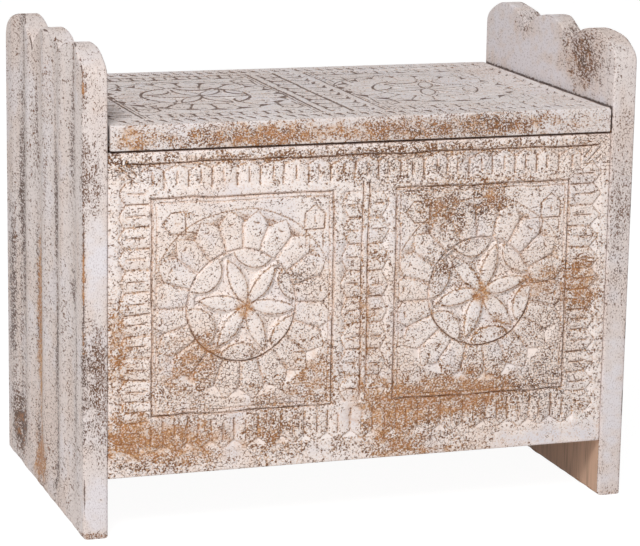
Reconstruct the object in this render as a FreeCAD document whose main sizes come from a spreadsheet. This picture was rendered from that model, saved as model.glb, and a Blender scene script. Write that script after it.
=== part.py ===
import FreeCAD
import Part
import math
import os
import re
import Sketcher

# A low storage trunk that is also a seat: two thick end boards with lobed tops carry a
# carved front, a back and a plank floor, and a carved lid turns on two butt hinges.
# Frame: X along the width, front at -Y, Z up, origin on the floor under the middle.
# Lengths in millimetres.

SIZES = [
    ("overall_width", 700, "outside to outside of the end boards"),
    ("overall_depth", 418, "front to back of the end boards"),
    ("end_height", 587, "floor to the top of the lobes"),
    ("end_thickness", 30, "thickness of an end board"),
    ("lobe_count", 3, "lobes on the top of an end board"),
    ("lobe_rise", 36, "height of a lobe above its notch"),
    ("lobe_shoulder", 22, "radius of a lobe's shoulders"),
    ("flute_count", 4, "flutes on the outside of an end board"),
    ("flute_pitch", 90, "middle to middle of two flutes"),
    ("flute_width", 72, "width of a flute"),
    ("flute_depth", 6, "depth of a flute"),
    ("flute_foot", 20, "floor to the lower end of a flute"),
    ("floor_gap", 72, "floor to the underside of the panels"),
    ("seat_height", 498, "floor to the top of the lid"),
    ("lid_thickness", 30, "thickness of the lid"),
    ("lid_side_gap", 3, "gap between the lid and an end board"),
    ("lid_edge_round", 3, "radius of the lid's top edges"),
    ("front_thickness", 22, "thickness of the front panel"),
    ("front_setback", 2, "front panel behind the front of the ends"),
    ("back_thickness", 18, "thickness of the back panel"),
    ("back_overhang", 22, "back panel in front of the back of the ends"),
    ("field_width", 226, "width of a carved field"),
    ("field_height", 264, "height of a carved field on the front"),
    ("field_length", 322, "length of a carved field on the lid, front to back"),
    ("field_offset", 153, "middle of the panel to the middle of a field"),
    ("field_lift", 205, "underside of the front panel to the middle of its fields"),
    ("line_width", 3, "width of a carved line"),
    ("carve_depth", 3, "depth of the carving"),
    ("rosette_radius", 69, "radius of a rosette"),
    ("rosette_boss", 8, "radius of the plain middle of a rosette"),
    ("leaf_count", 20, "leaves around a rosette"),
    ("leaf_shoulder", 93, "radius where a leaf begins to taper"),
    ("leaf_tip", 106, "radius at the tips of the leaves"),
    ("post_size", 25, "side of a corner post"),
    ("ledge_size", 20, "side of a lid ledge"),
    ("cleat_size", 22, "side of a bottom cleat"),
    ("cleat_rise", 6, "underside of the panels to the underside of the cleats"),
    ("plank_count", 5, "planks in the floor"),
    ("plank_thickness", 15, "thickness of a floor plank"),
    ("plank_gap", 2, "gap beside a floor plank"),
    ("batten_width", 45, "width of a lid batten"),
    ("batten_thickness", 18, "thickness of a lid batten"),
    ("batten_inset", 130, "inside of an end board to the middle of a batten"),
    ("batten_end_gap", 14, "end of a batten to the inside of a panel"),
    ("hinge_inset", 120, "inside of an end board to the middle of a hinge"),
    ("hinge_length", 64, "length of a hinge"),
    ("hinge_leaf_width", 16, "hinge leaf in front of the back panel's rear face"),
    ("hinge_leaf_thickness", 1.2, "thickness of a hinge leaf"),
    ("hinge_leaf_gap", 0.2, "gap between the closed leaves"),
    ("knuckle_count", 5, "knuckles of a hinge"),
    ("knuckle_radius", 3.5, "outer radius of a knuckle"),
    ("knuckle_gap", 0.4, "gap between two knuckles"),
    ("knuckle_clearance", 0.5, "room around a knuckle"),
    ("pin_radius", 1.6, "radius of a hinge pin"),
    ("pin_clearance", 0.05, "play of a pin in its bore"),
    ("pin_overhang", 0.8, "pin past the last knuckle"),
    ("screw_radius", 1.75, "radius of a wood screw's shank"),
    ("screw_head_radius", 3.5, "radius of a wood screw's head"),
    ("screw_head_height", 2.2, "height of a wood screw's head"),
    ("screw_bite", 12, "wood screw in the piece that holds it"),
    ("hinge_screw_radius", 1.4, "radius of a hinge screw's shank"),
    ("hinge_screw_head", 2.5, "radius of a hinge screw's head"),
    ("screw_tip", 3, "length of a screw's point"),
    ("screw_clearance", 0.1, "room around a screw in its hole"),
]

# Lengths that follow from the sizes; a name here may be used in any later formula.
DERIVED = {
    "inner_half": "(overall_width / 2 - end_thickness)",
    "notch_height": "(end_height - lobe_rise)",
    "lobe_half": "(overall_depth / lobe_count / 2)",
    "lobe_crown": "(((lobe_half - lobe_shoulder) ^ 2 + lobe_rise ^ 2 - lobe_shoulder ^ 2)"
                  " / (2 * (lobe_rise - lobe_shoulder)))",
    "flute_radius": "((flute_width ^ 2 / 4 + flute_depth ^ 2) / (2 * flute_depth))",
    "flute_start": "(flute_foot + flute_width / 2)",
    "front_face": "(front_setback - overall_depth / 2)",
    "front_inside": "(front_face + front_thickness)",
    "back_face": "(overall_depth / 2 - back_overhang)",
    "back_inside": "(back_face - back_thickness)",
    "lid_bottom": "(seat_height - lid_thickness)",
    "lid_half": "(inner_half - lid_side_gap)",
    "lid_gap": "(2 * hinge_leaf_thickness + hinge_leaf_gap)",
    "panel_top": "(lid_bottom - lid_gap)",
    "panel_height": "(panel_top - floor_gap)",
    "cleat_bottom": "(floor_gap + cleat_rise)",
    "plank_bottom": "(cleat_bottom + cleat_size)",
    "plank_top": "(plank_bottom + plank_thickness)",
    "plank_width": "((2 * inner_half - (plank_count + 1) * plank_gap) / plank_count)",
    "ledge_bottom": "(lid_bottom - ledge_size)",
    "post_height": "(ledge_bottom - plank_top)",
    "batten_offset": "(inner_half - batten_inset)",
    "hinge_offset": "(inner_half - hinge_inset)",
    "hinge_y": "(back_face + knuckle_radius + knuckle_clearance)",
    "hinge_z": "(lid_bottom - lid_gap / 2)",
    "knuckle_pitch": "(hinge_length / knuckle_count)",
}

doc = FreeCAD.newDocument("carved_trunk")
sheet = doc.addObject("Spreadsheet::Sheet", "Sizes")
for row, (alias, number, note) in enumerate(SIZES, start=1):
    sheet.set("A%d" % row, note)
    sheet.set("B%d" % row, str(number))
    sheet.setAlias("B%d" % row, alias)
doc.recompute()
ALIASES = {alias for alias, number, note in SIZES}


def formula(text):
    """A formula with every size and derived length written as a cell of the sheet."""
    def cell(match):
        word = match.group(0)
        if word in DERIVED:
            return formula(DERIVED[word])
        return "Sizes." + word if word in ALIASES else word
    return re.sub(r"[a-z_]+", cell, str(text))


def value(text):
    """The number that a formula gives for the sizes in the sheet."""
    return float(sheet.evalExpression(formula(text)))


def count(text):
    return int(round(value(text)))


def bind(item, **formulas):
    """Bind properties of an object to formulas; a double underscore stands for a dot."""
    for name, text in formulas.items():
        item.setExpression(name.replace("__", "."), formula(text))
    return item


def put(item, x="0", y="0", z="0"):
    return bind(item, Placement__Base__x=x, Placement__Base__y=y, Placement__Base__z=z)


def block(label, x, y, z):
    """A square-edged board; each direction is a pair of formulas: low side and length."""
    item = doc.addObject("Part::Box", label)
    bind(item, Length=x[1], Width=y[1], Height=z[1])
    return put(item, x[0], y[0], z[0])


def rod(label, x, length, radius, y="hinge_y", z="hinge_z"):
    """A round bar along X that starts at x."""
    item = doc.addObject("Part::Cylinder", label)
    bind(item, Radius=radius, Height=length)
    item.Placement.Rotation = FreeCAD.Rotation(FreeCAD.Vector(0, 1, 0), 90)
    return put(item, x, y, z)


def joined(label, shapes):
    item = doc.addObject("Part::MultiFuse", label)
    item.Shapes = shapes
    return item


def cut(label, base, tools):
    """The base less the tools, as one object."""
    tool = tools[0]
    if len(tools) > 1:
        tool = doc.addObject("Part::Compound", label + "_tools")
        tool.Links = tools
    item = doc.addObject("Part::Cut", label)
    item.Base = base
    item.Tool = tool
    return item


def body(label):
    return doc.addObject("PartDesign::Body", label)


def origin_feature(of_body, role):
    return next(item for item in of_body.Origin.OriginFeatures if item.Role == role)


def sketch_on(of_body, role, label):
    """An empty sketch on one of the body's own base planes."""
    sketch = of_body.newObject("Sketcher::SketchObject", label)
    sketch.AttachmentSupport = [(origin_feature(of_body, role), "")]
    sketch.MapMode = "FlatFace"
    return sketch


def dimension(sketch, text, kind, *points):
    """A constraint whose size is bound to a formula."""
    index = sketch.addConstraint(Sketcher.Constraint(kind, *points, value(text)))
    sketch.setExpression("Constraints[%d]" % index, formula(text))


def fix_point(sketch, geometry, end, x, y):
    dimension(sketch, x, "DistanceX", -1, 1, geometry, end)
    dimension(sketch, y, "DistanceY", -1, 1, geometry, end)


def polygon(sketch, corners):
    """A closed outline of straight lines through corners given as pairs of formulas."""
    points = [FreeCAD.Vector(value(x), value(y), 0) for x, y in corners]
    lines = []
    for start, end in zip(points, points[1:] + points[:1]):
        lines.append(sketch.addGeometry(Part.LineSegment(start, end), False))
    for line, after in zip(lines, lines[1:] + lines[:1]):
        sketch.addConstraint(Sketcher.Constraint("Coincident", line, 2, after, 1))
    for line, (x, y) in zip(lines, corners):
        fix_point(sketch, line, 1, x, y)


def circle(sketch, x, y, radius):
    middle = FreeCAD.Vector(value(x), value(y), 0)
    ring = sketch.addGeometry(Part.Circle(middle, FreeCAD.Vector(0, 0, 1), value(radius)), False)
    fix_point(sketch, ring, 3, x, y)
    dimension(sketch, radius, "Radius", ring)


def rectangle(sketch, x, y, width, height):
    """A rectangle about the point x, y."""
    left, right = "%s - (%s) / 2" % (x, width), "%s + (%s) / 2" % (x, width)
    low, high = "%s - (%s) / 2" % (y, height), "%s + (%s) / 2" % (y, height)
    polygon(sketch, [(left, low), (right, low), (right, high), (left, high)])


def pad(of_body, sketch, length, reverse=False):
    item = of_body.newObject("PartDesign::Pad", sketch.Label + "_pad")
    item.Profile = sketch
    item.Reversed = reverse
    return bind(item, Length=length)


def pocket(of_body, sketch, depth):
    item = of_body.newObject("PartDesign::Pocket", sketch.Label + "_pocket")
    item.Profile = sketch
    return bind(item, Length=depth)


def polar(of_body, original, sketch, copies):
    """Copies of a pocket turned about the normal through its sketch's own origin."""
    item = of_body.newObject("PartDesign::PolarPattern", original.Label + "_ring")
    item.Originals = [original]
    item.Axis = (sketch, ["N_Axis"])
    item.Angle = 360
    bind(item, Occurrences=copies)
    of_body.Tip = item
    return item


# End boards

def lobed_outline(sketch):
    """Outline of an end board: straight foot and sides, a row of three-centred arches on top."""
    half, low, high = value("overall_depth / 2"), value("notch_height"), value("end_height")
    radius, crown, reach = value("lobe_shoulder"), value("lobe_crown"), value("lobe_half")
    slope = math.atan2(crown - value("lobe_rise"), reach - radius)
    up = FreeCAD.Vector(0, 0, 1)

    def line(start, end):
        return sketch.addGeometry(Part.LineSegment(FreeCAD.Vector(*start, 0), FreeCAD.Vector(*end, 0)), False)

    def arc(y, z, size, first, last):
        ring = Part.Circle(FreeCAD.Vector(y, z, 0), up, size)
        return sketch.addGeometry(Part.ArcOfCircle(ring, first, last), False)

    foot = line((-half, 0), (half, 0))
    rear = line((half, 0), (half, low))
    sketch.addConstraint(Sketcher.Constraint("Horizontal", foot))
    sketch.addConstraint(Sketcher.Constraint("Symmetric", foot, 1, foot, 2, -1, 1))
    dimension(sketch, "overall_depth", "DistanceX", foot, 1, foot, 2)
    sketch.addConstraint(Sketcher.Constraint("Coincident", foot, 2, rear, 1))
    sketch.addConstraint(Sketcher.Constraint("Vertical", rear))
    dimension(sketch, "notch_height", "DistanceY", rear, 1, rear, 2)
    last = rear
    for index in reversed(range(count("lobe_count"))):
        middle = -half + (2 * index + 1) * reach
        rise = arc(middle + reach - radius, low, radius, 0, slope)
        top = arc(middle, high - crown, crown, slope, math.pi - slope)
        fall = arc(middle - reach + radius, low, radius, math.pi - slope, math.pi)
        sketch.addConstraint(Sketcher.Constraint("Coincident", last, 2, rise, 1))
        sketch.addConstraint(Sketcher.Constraint("Tangent", rise, 2, top, 1))
        sketch.addConstraint(Sketcher.Constraint("Tangent", top, 2, fall, 1))
        sketch.addConstraint(Sketcher.Constraint("Horizontal", rise, 1, rise, 3))
        sketch.addConstraint(Sketcher.Constraint("Horizontal", fall, 2, fall, 3))
        dimension(sketch, "lobe_shoulder", "Radius", rise)
        dimension(sketch, "lobe_shoulder", "Radius", fall)
        dimension(sketch, "lobe_crown", "Radius", top)
        fix_point(sketch, fall, 2, "2 * %d * lobe_half - overall_depth / 2" % index, "notch_height")
        last = fall
    front = line((-half, low), (-half, 0))
    sketch.addConstraint(Sketcher.Constraint("Coincident", last, 2, front, 1))
    sketch.addConstraint(Sketcher.Constraint("Coincident", front, 2, foot, 1))


end_blank = body("end_blank")
end_outline = sketch_on(end_blank, "YZ_Plane", "end_outline")
lobed_outline(end_outline)
pad(end_blank, end_outline, "end_thickness")

# A flute is cut by a round-nosed cutter whose axis stands outside the board.
flute_outline = sketch_on(end_blank, "XZ_Plane", "flute_outline")
bind(
    flute_outline,
    AttachmentOffset__Base__x="flute_depth - flute_radius",
    AttachmentOffset__Base__y="flute_start",
    AttachmentOffset__Base__z="flute_pitch * (flute_count - 1) / 2",
)
flute_size, flute_rise = value("flute_radius"), value("end_height - flute_start + end_thickness")
nose = flute_outline.addGeometry(
    Part.ArcOfCircle(
        Part.Circle(FreeCAD.Vector(0, 0, 0), FreeCAD.Vector(0, 0, 1), flute_size), -math.pi / 2, 0
    ),
    False,
)
flute_outline.addConstraint(Sketcher.Constraint("Coincident", nose, 3, -1, 1))
dimension(flute_outline, "flute_radius", "Radius", nose)
side = [(flute_size, 0), (flute_size, flute_rise), (0, flute_rise), (0, -flute_size)]
side = [FreeCAD.Vector(x, y, 0) for x, y in side]
edges = [flute_outline.addGeometry(Part.LineSegment(*pair), False) for pair in zip(side, side[1:])]
for first, second in zip([nose] + edges, edges + [nose]):
    flute_outline.addConstraint(Sketcher.Constraint("Coincident", first, 2, second, 1))
flute_outline.addConstraint(Sketcher.Constraint("Vertical", edges[0]))
flute_outline.addConstraint(Sketcher.Constraint("Horizontal", edges[1]))
flute_outline.addConstraint(Sketcher.Constraint("Vertical", edges[2]))
flute_outline.addConstraint(Sketcher.Constraint("PointOnObject", nose, 2, -1))
flute_outline.addConstraint(Sketcher.Constraint("PointOnObject", nose, 1, -2))
dimension(flute_outline, "end_height - flute_start + end_thickness", "DistanceY", edges[0], 1, edges[0], 2)
flute = end_blank.newObject("PartDesign::Groove", "flute")
flute.Profile = flute_outline
flute.ReferenceAxis = (flute_outline, ["V_Axis"])
flute.Angle = 360
flutes = end_blank.newObject("PartDesign::LinearPattern", "flutes")
flutes.Originals = [flute]
flutes.Direction = (origin_feature(end_blank, "Y_Axis"), [""])
bind(flutes, Length="flute_pitch * (flute_count - 1)", Occurrences="flute_count")
end_blank.Tip = flutes
put(end_blank, "-overall_width / 2")


# Carving on the front panel and on the lid

def carve(of_body, role, name, lift, height, tilts):
    """Two fields side by side: a line around each, a ring, six hollows and a ring of leaf notches."""
    lines = sketch_on(of_body, role, name + "_lines")
    for side in ("-", "+"):
        middle = side + "field_offset"
        rectangle(lines, middle, lift, "field_width", height)
        rectangle(lines, middle, lift, "field_width - 2 * line_width", height + " - 2 * line_width")
        circle(lines, middle, lift, "rosette_radius + line_width")
        circle(lines, middle, lift, "rosette_radius")
    pocket(of_body, lines, "carve_depth")
    for side, tilt in zip(("-", "+"), tilts):
        label = name + ("_left" if side == "-" else "_right")
        hollow = sketch_on(of_body, role, label + "_hollow")
        notch = sketch_on(of_body, role, label + "_notch")
        for sketch in (hollow, notch):
            bind(sketch, AttachmentOffset__Base__x=side + "field_offset", AttachmentOffset__Base__y=lift)
            sketch.AttachmentOffset.Rotation = FreeCAD.Rotation(FreeCAD.Vector(0, 0, 1), tilt)
        hollow_outline(hollow)
        polar(of_body, pocket(of_body, hollow, "carve_depth"), hollow, "6")
        half = "180 deg / leaf_count * 0.8"
        polygon(notch, [
            ("leaf_shoulder", "0"),
            ("leaf_tip * cos(%s)" % half, "-leaf_tip * sin(%s)" % half),
            ("leaf_tip * cos(%s)" % half, "leaf_tip * sin(%s)" % half),
        ])
        polar(of_body, pocket(of_body, notch, "carve_depth"), notch, "leaf_count")


def hollow_outline(sketch):
    """The three-cornered hollow between two petals: three arcs of the rosette's radius that bulge inward."""
    size = value("rosette_radius")
    corners = [
        ("rosette_boss", "0"),
        ("rosette_radius * 0.9 * cos(26 deg)", "-rosette_radius * 0.9 * sin(26 deg)"),
        ("rosette_radius * 0.9 * cos(26 deg)", "rosette_radius * 0.9 * sin(26 deg)"),
    ]
    points = [FreeCAD.Vector(value(x), value(y), 0) for x, y in corners]
    centre = (points[0] + points[1] + points[2]) * (1 / 3)
    arcs = []
    for start, end in zip(points, points[1:] + points[:1]):
        chord = (start + end) * 0.5
        inward = (centre - chord).normalize()
        sag = size - math.sqrt(size ** 2 - (end - start).Length ** 2 / 4)
        ring = Part.Arc(end, chord + inward * sag, start)
        arcs.append(sketch.addGeometry(ring, False))
    for arc, after in zip(arcs, arcs[1:] + arcs[:1]):
        sketch.addConstraint(Sketcher.Constraint("Coincident", arc, 1, after, 2))
        dimension(sketch, "rosette_radius", "Radius", arc)
    for arc, (x, y) in zip(arcs, corners):
        fix_point(sketch, arc, 2, x, y)


front_blank = body("front_blank")
front_outline = sketch_on(front_blank, "XZ_Plane", "front_outline")
rectangle(front_outline, "0", "panel_height / 2", "2 * inner_half", "panel_height")
pad(front_blank, front_outline, "front_thickness", reverse=True)
carve(front_blank, "XZ_Plane", "front", "field_lift", "field_height", (21, 39))
put(front_blank, y="front_face", z="floor_gap")

lid_blank = body("lid_blank")
lid_outline = sketch_on(lid_blank, "XY_Plane", "lid_outline")
rectangle(lid_outline, "0", "0", "2 * lid_half", "overall_depth")
lid_pad = pad(lid_blank, lid_outline, "lid_thickness", reverse=True)
doc.recompute()
top_face = max(range(len(lid_pad.Shape.Faces)), key=lambda index: lid_pad.Shape.Faces[index].CenterOfMass.z)
lid_round = lid_blank.newObject("PartDesign::Fillet", "lid_round")
lid_round.Base = (lid_pad, ["Face%d" % (top_face + 1)])
bind(lid_round, Radius="lid_edge_round")
carve(lid_blank, "XY_Plane", "lid", "0", "field_length", (30, 30))
put(lid_blank, z="seat_height")


# Screws

def screw(label, length, radius, head, head_height, room="0"):
    """A countersunk screw that points down from the origin; room widens it into its own hole."""
    top = doc.addObject("Part::Cone", label + "_head")
    bind(top, Radius1="%s + %s" % (radius, room), Radius2="%s + %s" % (head, room), Height=head_height)
    put(top, z="-(%s)" % head_height)
    shank = doc.addObject("Part::Cylinder", label + "_shank")
    bind(shank, Radius="%s + %s" % (radius, room), Height="%s - screw_tip - %s / 2" % (length, head_height))
    put(shank, z="screw_tip - (%s)" % length)
    point = doc.addObject("Part::Cone", label + "_point")
    bind(point, Radius1="radius_of_point", Radius2="%s + %s" % (radius, room), Height="screw_tip + " + room)
    put(point, z="-(%s) - %s" % (length, room))
    return joined(label, [top, shank, point])


DERIVED["radius_of_point"] = "(screw_radius / 8)"
WOOD = ("screw_radius", "screw_head_radius", "screw_head_height")
HINGE = ("hinge_screw_radius", "hinge_screw_head", "hinge_leaf_thickness")
X_WAY, Y_WAY, Z_WAY = FreeCAD.Vector(1, 0, 0), FreeCAD.Vector(0, 1, 0), FreeCAD.Vector(0, 0, 1)


def placed(shape, spot):
    copy = shape.copy()
    copy.Placement = spot
    return copy


def screw_group(label, length, kind, places):
    """A group of like screws and the group of their holes; a place is a point and a way to point."""
    pattern = screw(label + "_pattern", length, *kind)
    wide = screw(label + "_wide", length, *kind, room="screw_clearance")
    doc.recompute()
    spots = []
    for point, way in places:
        turn = FreeCAD.Rotation(FreeCAD.Vector(0, 0, -1), way)
        spots.append(FreeCAD.Placement(FreeCAD.Vector(*[value(part) for part in point]), turn))
    groups = []
    for name, source in ((label, pattern), (label + "_holes", wide)):
        group = doc.addObject("Part::Feature", name)
        group.Shape = Part.makeCompound([placed(source.Shape, spot) for spot in spots])
        groups.append(group)
    return groups


post_places = []
for side, x_way in (("-", -X_WAY), ("", X_WAY)):
    near = "%s(inner_half - post_size)" % side
    middle = "%s(inner_half - post_size / 2)" % side
    for wall, inward, y_way in (("front_inside", "+", -Y_WAY), ("back_inside", "-", Y_WAY)):
        for share in (0.15, 0.85):
            level = "plank_top + post_height * %s" % share
            post_places.append(((near, "%s %s post_size / 2" % (wall, inward), level), x_way))
        for share in (0.3, 0.7):
            level = "plank_top + post_height * %s" % share
            post_places.append(((middle, "%s %s post_size" % (wall, inward), level), y_way))
post_screws, post_holes = screw_group("post_screws", "post_size + screw_bite", WOOD, post_places)

ledge_places = []
for side, x_way in (("-", -X_WAY), ("", X_WAY)):
    for share in (0.12, 0.5, 0.88):
        depth = "front_inside + (back_inside - front_inside) * %s" % share
        spot = ("%s(inner_half - ledge_size)" % side, depth, "ledge_bottom + ledge_size / 2")
        ledge_places.append((spot, x_way))
ledge_screws, ledge_holes = screw_group("ledge_screws", "ledge_size + screw_bite", WOOD, ledge_places)

plank_middles = []
for index in range(count("plank_count")):
    plank_middles.append("(plank_gap + plank_width / 2 + %d * (plank_gap + plank_width) - inner_half)" % index)

cleat_places = []
plank_places = []
for wall, inward, y_way in (("front_inside", "+", -Y_WAY), ("back_inside", "-", Y_WAY)):
    for middle in plank_middles[::2]:
        spot = (middle, "%s %s cleat_size" % (wall, inward), "cleat_bottom + cleat_size / 2")
        cleat_places.append((spot, y_way))
    for middle in plank_middles:
        for side in ("-", "+"):
            spot = ("%s %s plank_width * 0.28" % (middle, side), "%s %s cleat_size / 2" % (wall, inward), "plank_top")
            plank_places.append((spot, -Z_WAY))
cleat_screws, cleat_holes = screw_group("cleat_screws", "cleat_size + screw_bite", WOOD, cleat_places)
plank_screws, plank_holes = screw_group("plank_screws", "plank_thickness + screw_bite", WOOD, plank_places)

batten_places = []
for side in ("-", "+"):
    for share in (0.15, 0.5, 0.85):
        depth = "front_inside + (back_inside - front_inside) * %s" % share
        batten_places.append(((side + "batten_offset", depth, "lid_bottom - batten_thickness"), Z_WAY))
batten_screws, batten_holes = screw_group("batten_screws", "batten_thickness + screw_bite", WOOD, batten_places)

lower_places = []
upper_places = []
for side in ("-", "+"):
    for share in (-0.36, 0, 0.36):
        x = "%shinge_offset + hinge_length * (%s)" % (side, share)
        y = "back_face - hinge_leaf_width / 2"
        lower_places.append(((x, y, "panel_top + hinge_leaf_thickness"), -Z_WAY))
        upper_places.append(((x, y, "lid_bottom - hinge_leaf_thickness"), Z_WAY))
hinge_reach = "hinge_leaf_thickness + screw_bite"
hinge_lower_screws, lower_holes = screw_group("hinge_lower_screws", hinge_reach, HINGE, lower_places)
hinge_upper_screws, upper_holes = screw_group("hinge_upper_screws", hinge_reach, HINGE, upper_places)

# Carcass

left_end = cut("left_end", end_blank, [post_holes, ledge_holes])
right_end = doc.addObject("Part::Mirroring", "right_end")
right_end.Source = left_end
right_end.Normal = X_WAY
front_panel = cut("front_panel", front_blank, [post_holes, cleat_holes])
back_blank = block(
    "back_blank", ("-inner_half", "2 * inner_half"), ("back_inside", "back_thickness"), ("floor_gap", "panel_height")
)
back_panel = cut("back_panel", back_blank, [post_holes, cleat_holes, lower_holes])
carcass = [left_end, right_end, front_panel, back_panel]

for side, low in (("left", "-inner_half"), ("right", "inner_half - ledge_size")):
    rail = block(
        side + "_ledge_blank",
        (low, "ledge_size"),
        ("front_inside", "back_inside - front_inside"),
        ("ledge_bottom", "ledge_size"),
    )
    carcass.append(cut(side + "_lid_ledge", rail, [ledge_holes]))

for side, low in (("left", "-inner_half"), ("right", "inner_half - post_size")):
    for wall, start in (("front", "front_inside"), ("back", "back_inside - post_size")):
        name = "%s_%s_post" % (wall, side)
        post = block(name + "_blank", (low, "post_size"), (start, "post_size"), ("plank_top", "post_height"))
        carcass.append(cut(name, post, [post_holes]))

for wall, start in (("front", "front_inside"), ("back", "back_inside - cleat_size")):
    name = wall + "_bottom_cleat"
    cleat = block(
        name + "_blank", ("-inner_half", "2 * inner_half"), (start, "cleat_size"), ("cleat_bottom", "cleat_size")
    )
    carcass.append(cut(name, cleat, [cleat_holes, plank_holes]))

for index, middle in enumerate(plank_middles, start=1):
    name = "bottom_plank_%d" % index
    plank = block(
        name + "_blank",
        (middle + " - plank_width / 2", "plank_width"),
        ("front_inside", "back_inside - front_inside"),
        ("plank_bottom", "plank_thickness"),
    )
    carcass.append(cut(name, plank, [plank_holes]))

# Lid

recesses = []
for side in ("-", "+"):
    recesses.append(rod(
        "recess_left" if side == "-" else "recess_right",
        "%shinge_offset - hinge_length / 2 - 2 * knuckle_clearance" % side,
        "hinge_length + 4 * knuckle_clearance",
        "knuckle_radius + knuckle_clearance",
    ))
lid_board = cut("lid_board", lid_blank, recesses + [batten_holes, upper_holes])
lid = [lid_board]
for side, middle in (("left", "-batten_offset"), ("right", "batten_offset")):
    batten = block(
        side + "_batten_blank",
        (middle + " - batten_width / 2", "batten_width"),
        ("front_inside + batten_end_gap", "back_inside - front_inside - 2 * batten_end_gap"),
        ("lid_bottom - batten_thickness", "batten_thickness"),
    )
    lid.append(cut(side + "_lid_batten", batten, [batten_holes]))

# Hinges: even knuckles on the lower leaf, odd knuckles on the upper leaf

def hinge_leaf(label, middle, level, own, holes):
    """A flat leaf with its own knuckles, cut clear of the other leaf's knuckles."""
    start = "%s - hinge_length / 2" % middle
    plate = block(
        label + "_plate",
        (start, "hinge_length"),
        ("back_face - hinge_leaf_width", "hinge_y - back_face + hinge_leaf_width"),
        (level, "hinge_leaf_thickness"),
    )
    rooms = []
    knuckles = []
    for index in range(count("knuckle_count")):
        first = "%s + %d * knuckle_pitch" % (start, index)
        if index % 2 == own:
            name = "%s_knuckle_%d" % (label, index)
            length = "knuckle_pitch - knuckle_gap"
            knuckles.append(rod(name, first + " + knuckle_gap / 2", length, "knuckle_radius"))
        else:
            name = "%s_room_%d" % (label, index)
            length = "knuckle_pitch + knuckle_gap"
            radius = "knuckle_radius + knuckle_clearance"
            rooms.append(rod(name, first + " - knuckle_gap / 2", length, radius))
    bore = rod(label + "_bore", start + " - pin_overhang", "hinge_length + 2 * pin_overhang", "pin_radius + pin_clearance")
    clear = cut(label + "_clear", plate, rooms)
    whole = joined(label + "_whole", [clear] + knuckles)
    return cut(label, whole, [bore, holes])


for side, middle in (("left", "-hinge_offset"), ("right", "hinge_offset")):
    carcass.append(hinge_leaf(side + "_hinge_lower_leaf", middle, "panel_top", 0, lower_holes))
    lid.append(hinge_leaf(side + "_hinge_upper_leaf", middle, "lid_bottom - hinge_leaf_thickness", 1, upper_holes))
    carcass.append(rod(
        side + "_hinge_pin",
        middle + " - hinge_length / 2 - pin_overhang",
        "hinge_length + 2 * pin_overhang",
        "pin_radius",
    ))

carcass += [post_screws, ledge_screws, cleat_screws, plank_screws, hinge_lower_screws]
lid += [batten_screws, hinge_upper_screws]

# Files

doc.recompute()
for item in doc.Objects:
    if "Invalid" in item.State or "Error" in item.State:
        raise RuntimeError("%s did not build: %s" % (item.Label, item.State))
os.makedirs("parts", exist_ok=True)
for item in carcass + lid:
    if item.Shape.isNull() or not item.Shape.isValid() or not item.Shape.Solids:
        raise RuntimeError("%s has no sound solid" % item.Label)
    item.Shape.exportStep(os.path.join("parts", item.Label + ".step"))
    print(item.Label, len(item.Shape.Solids), round(item.Shape.Volume))
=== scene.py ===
import math
from types import SimpleNamespace

import bpy
import numpy as np
from mathutils import Matrix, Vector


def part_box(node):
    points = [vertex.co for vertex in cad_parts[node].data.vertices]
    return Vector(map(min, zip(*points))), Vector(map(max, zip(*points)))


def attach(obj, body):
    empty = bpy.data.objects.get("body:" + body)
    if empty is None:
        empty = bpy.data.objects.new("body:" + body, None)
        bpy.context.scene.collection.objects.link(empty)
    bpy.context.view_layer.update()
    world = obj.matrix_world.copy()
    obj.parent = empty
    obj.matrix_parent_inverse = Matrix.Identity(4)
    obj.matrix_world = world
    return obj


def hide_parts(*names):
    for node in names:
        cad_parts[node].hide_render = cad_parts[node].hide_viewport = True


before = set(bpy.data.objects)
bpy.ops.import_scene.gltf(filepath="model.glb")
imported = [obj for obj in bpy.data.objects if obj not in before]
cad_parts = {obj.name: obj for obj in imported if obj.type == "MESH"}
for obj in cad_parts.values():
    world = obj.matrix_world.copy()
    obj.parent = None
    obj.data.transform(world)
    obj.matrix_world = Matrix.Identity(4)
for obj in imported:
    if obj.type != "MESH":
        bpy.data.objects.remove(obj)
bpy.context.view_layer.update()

bl_info = {
    "name": "Carved Trunk",
    "version": (1, 0, 0),
    "blender": (4, 5, 0),
    "location": "View3D > Sidebar > Trunk",
    "description": "Carved front and lid, fluted lobed ends, crackled wash and plain stage of a wooden trunk",
    "category": "Object",
}

MM = 0.001  # shapes are worked out in millimetres, and Blender has metres
WHITE = (1, 1, 1, 1)


def paint(red, green, blue):
    """A colour given by its display values from 0 to 255, as the linear values that shaders use."""
    shares = np.array([red, green, blue]) / 255
    linear = np.where(shares > 0.04045, ((shares + 0.055) / 1.055) ** 2.4, shares / 12.92)
    return (*linear.tolist(), 1.0)


# Sizes and colours that a user would change


def number(name, description, default, **kind):
    return bpy.props.FloatProperty(name=name, description=description, default=default, **kind)


def length(name, description, millimetres):
    return number(name, description, millimetres * MM, unit="LENGTH")


def share(name, description, value):
    return number(name, description, value, subtype="FACTOR")


def angle(name, description, degrees):
    return number(name, description, math.radians(degrees), subtype="ANGLE")


def power(name, description, watts):
    return number(name, description, watts, unit="POWER")


def colour(name, description, *display):
    return bpy.props.FloatVectorProperty(
        name=name, description=description, default=paint(*display), size=4, min=0, max=1, subtype="COLOR"
    )


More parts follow.
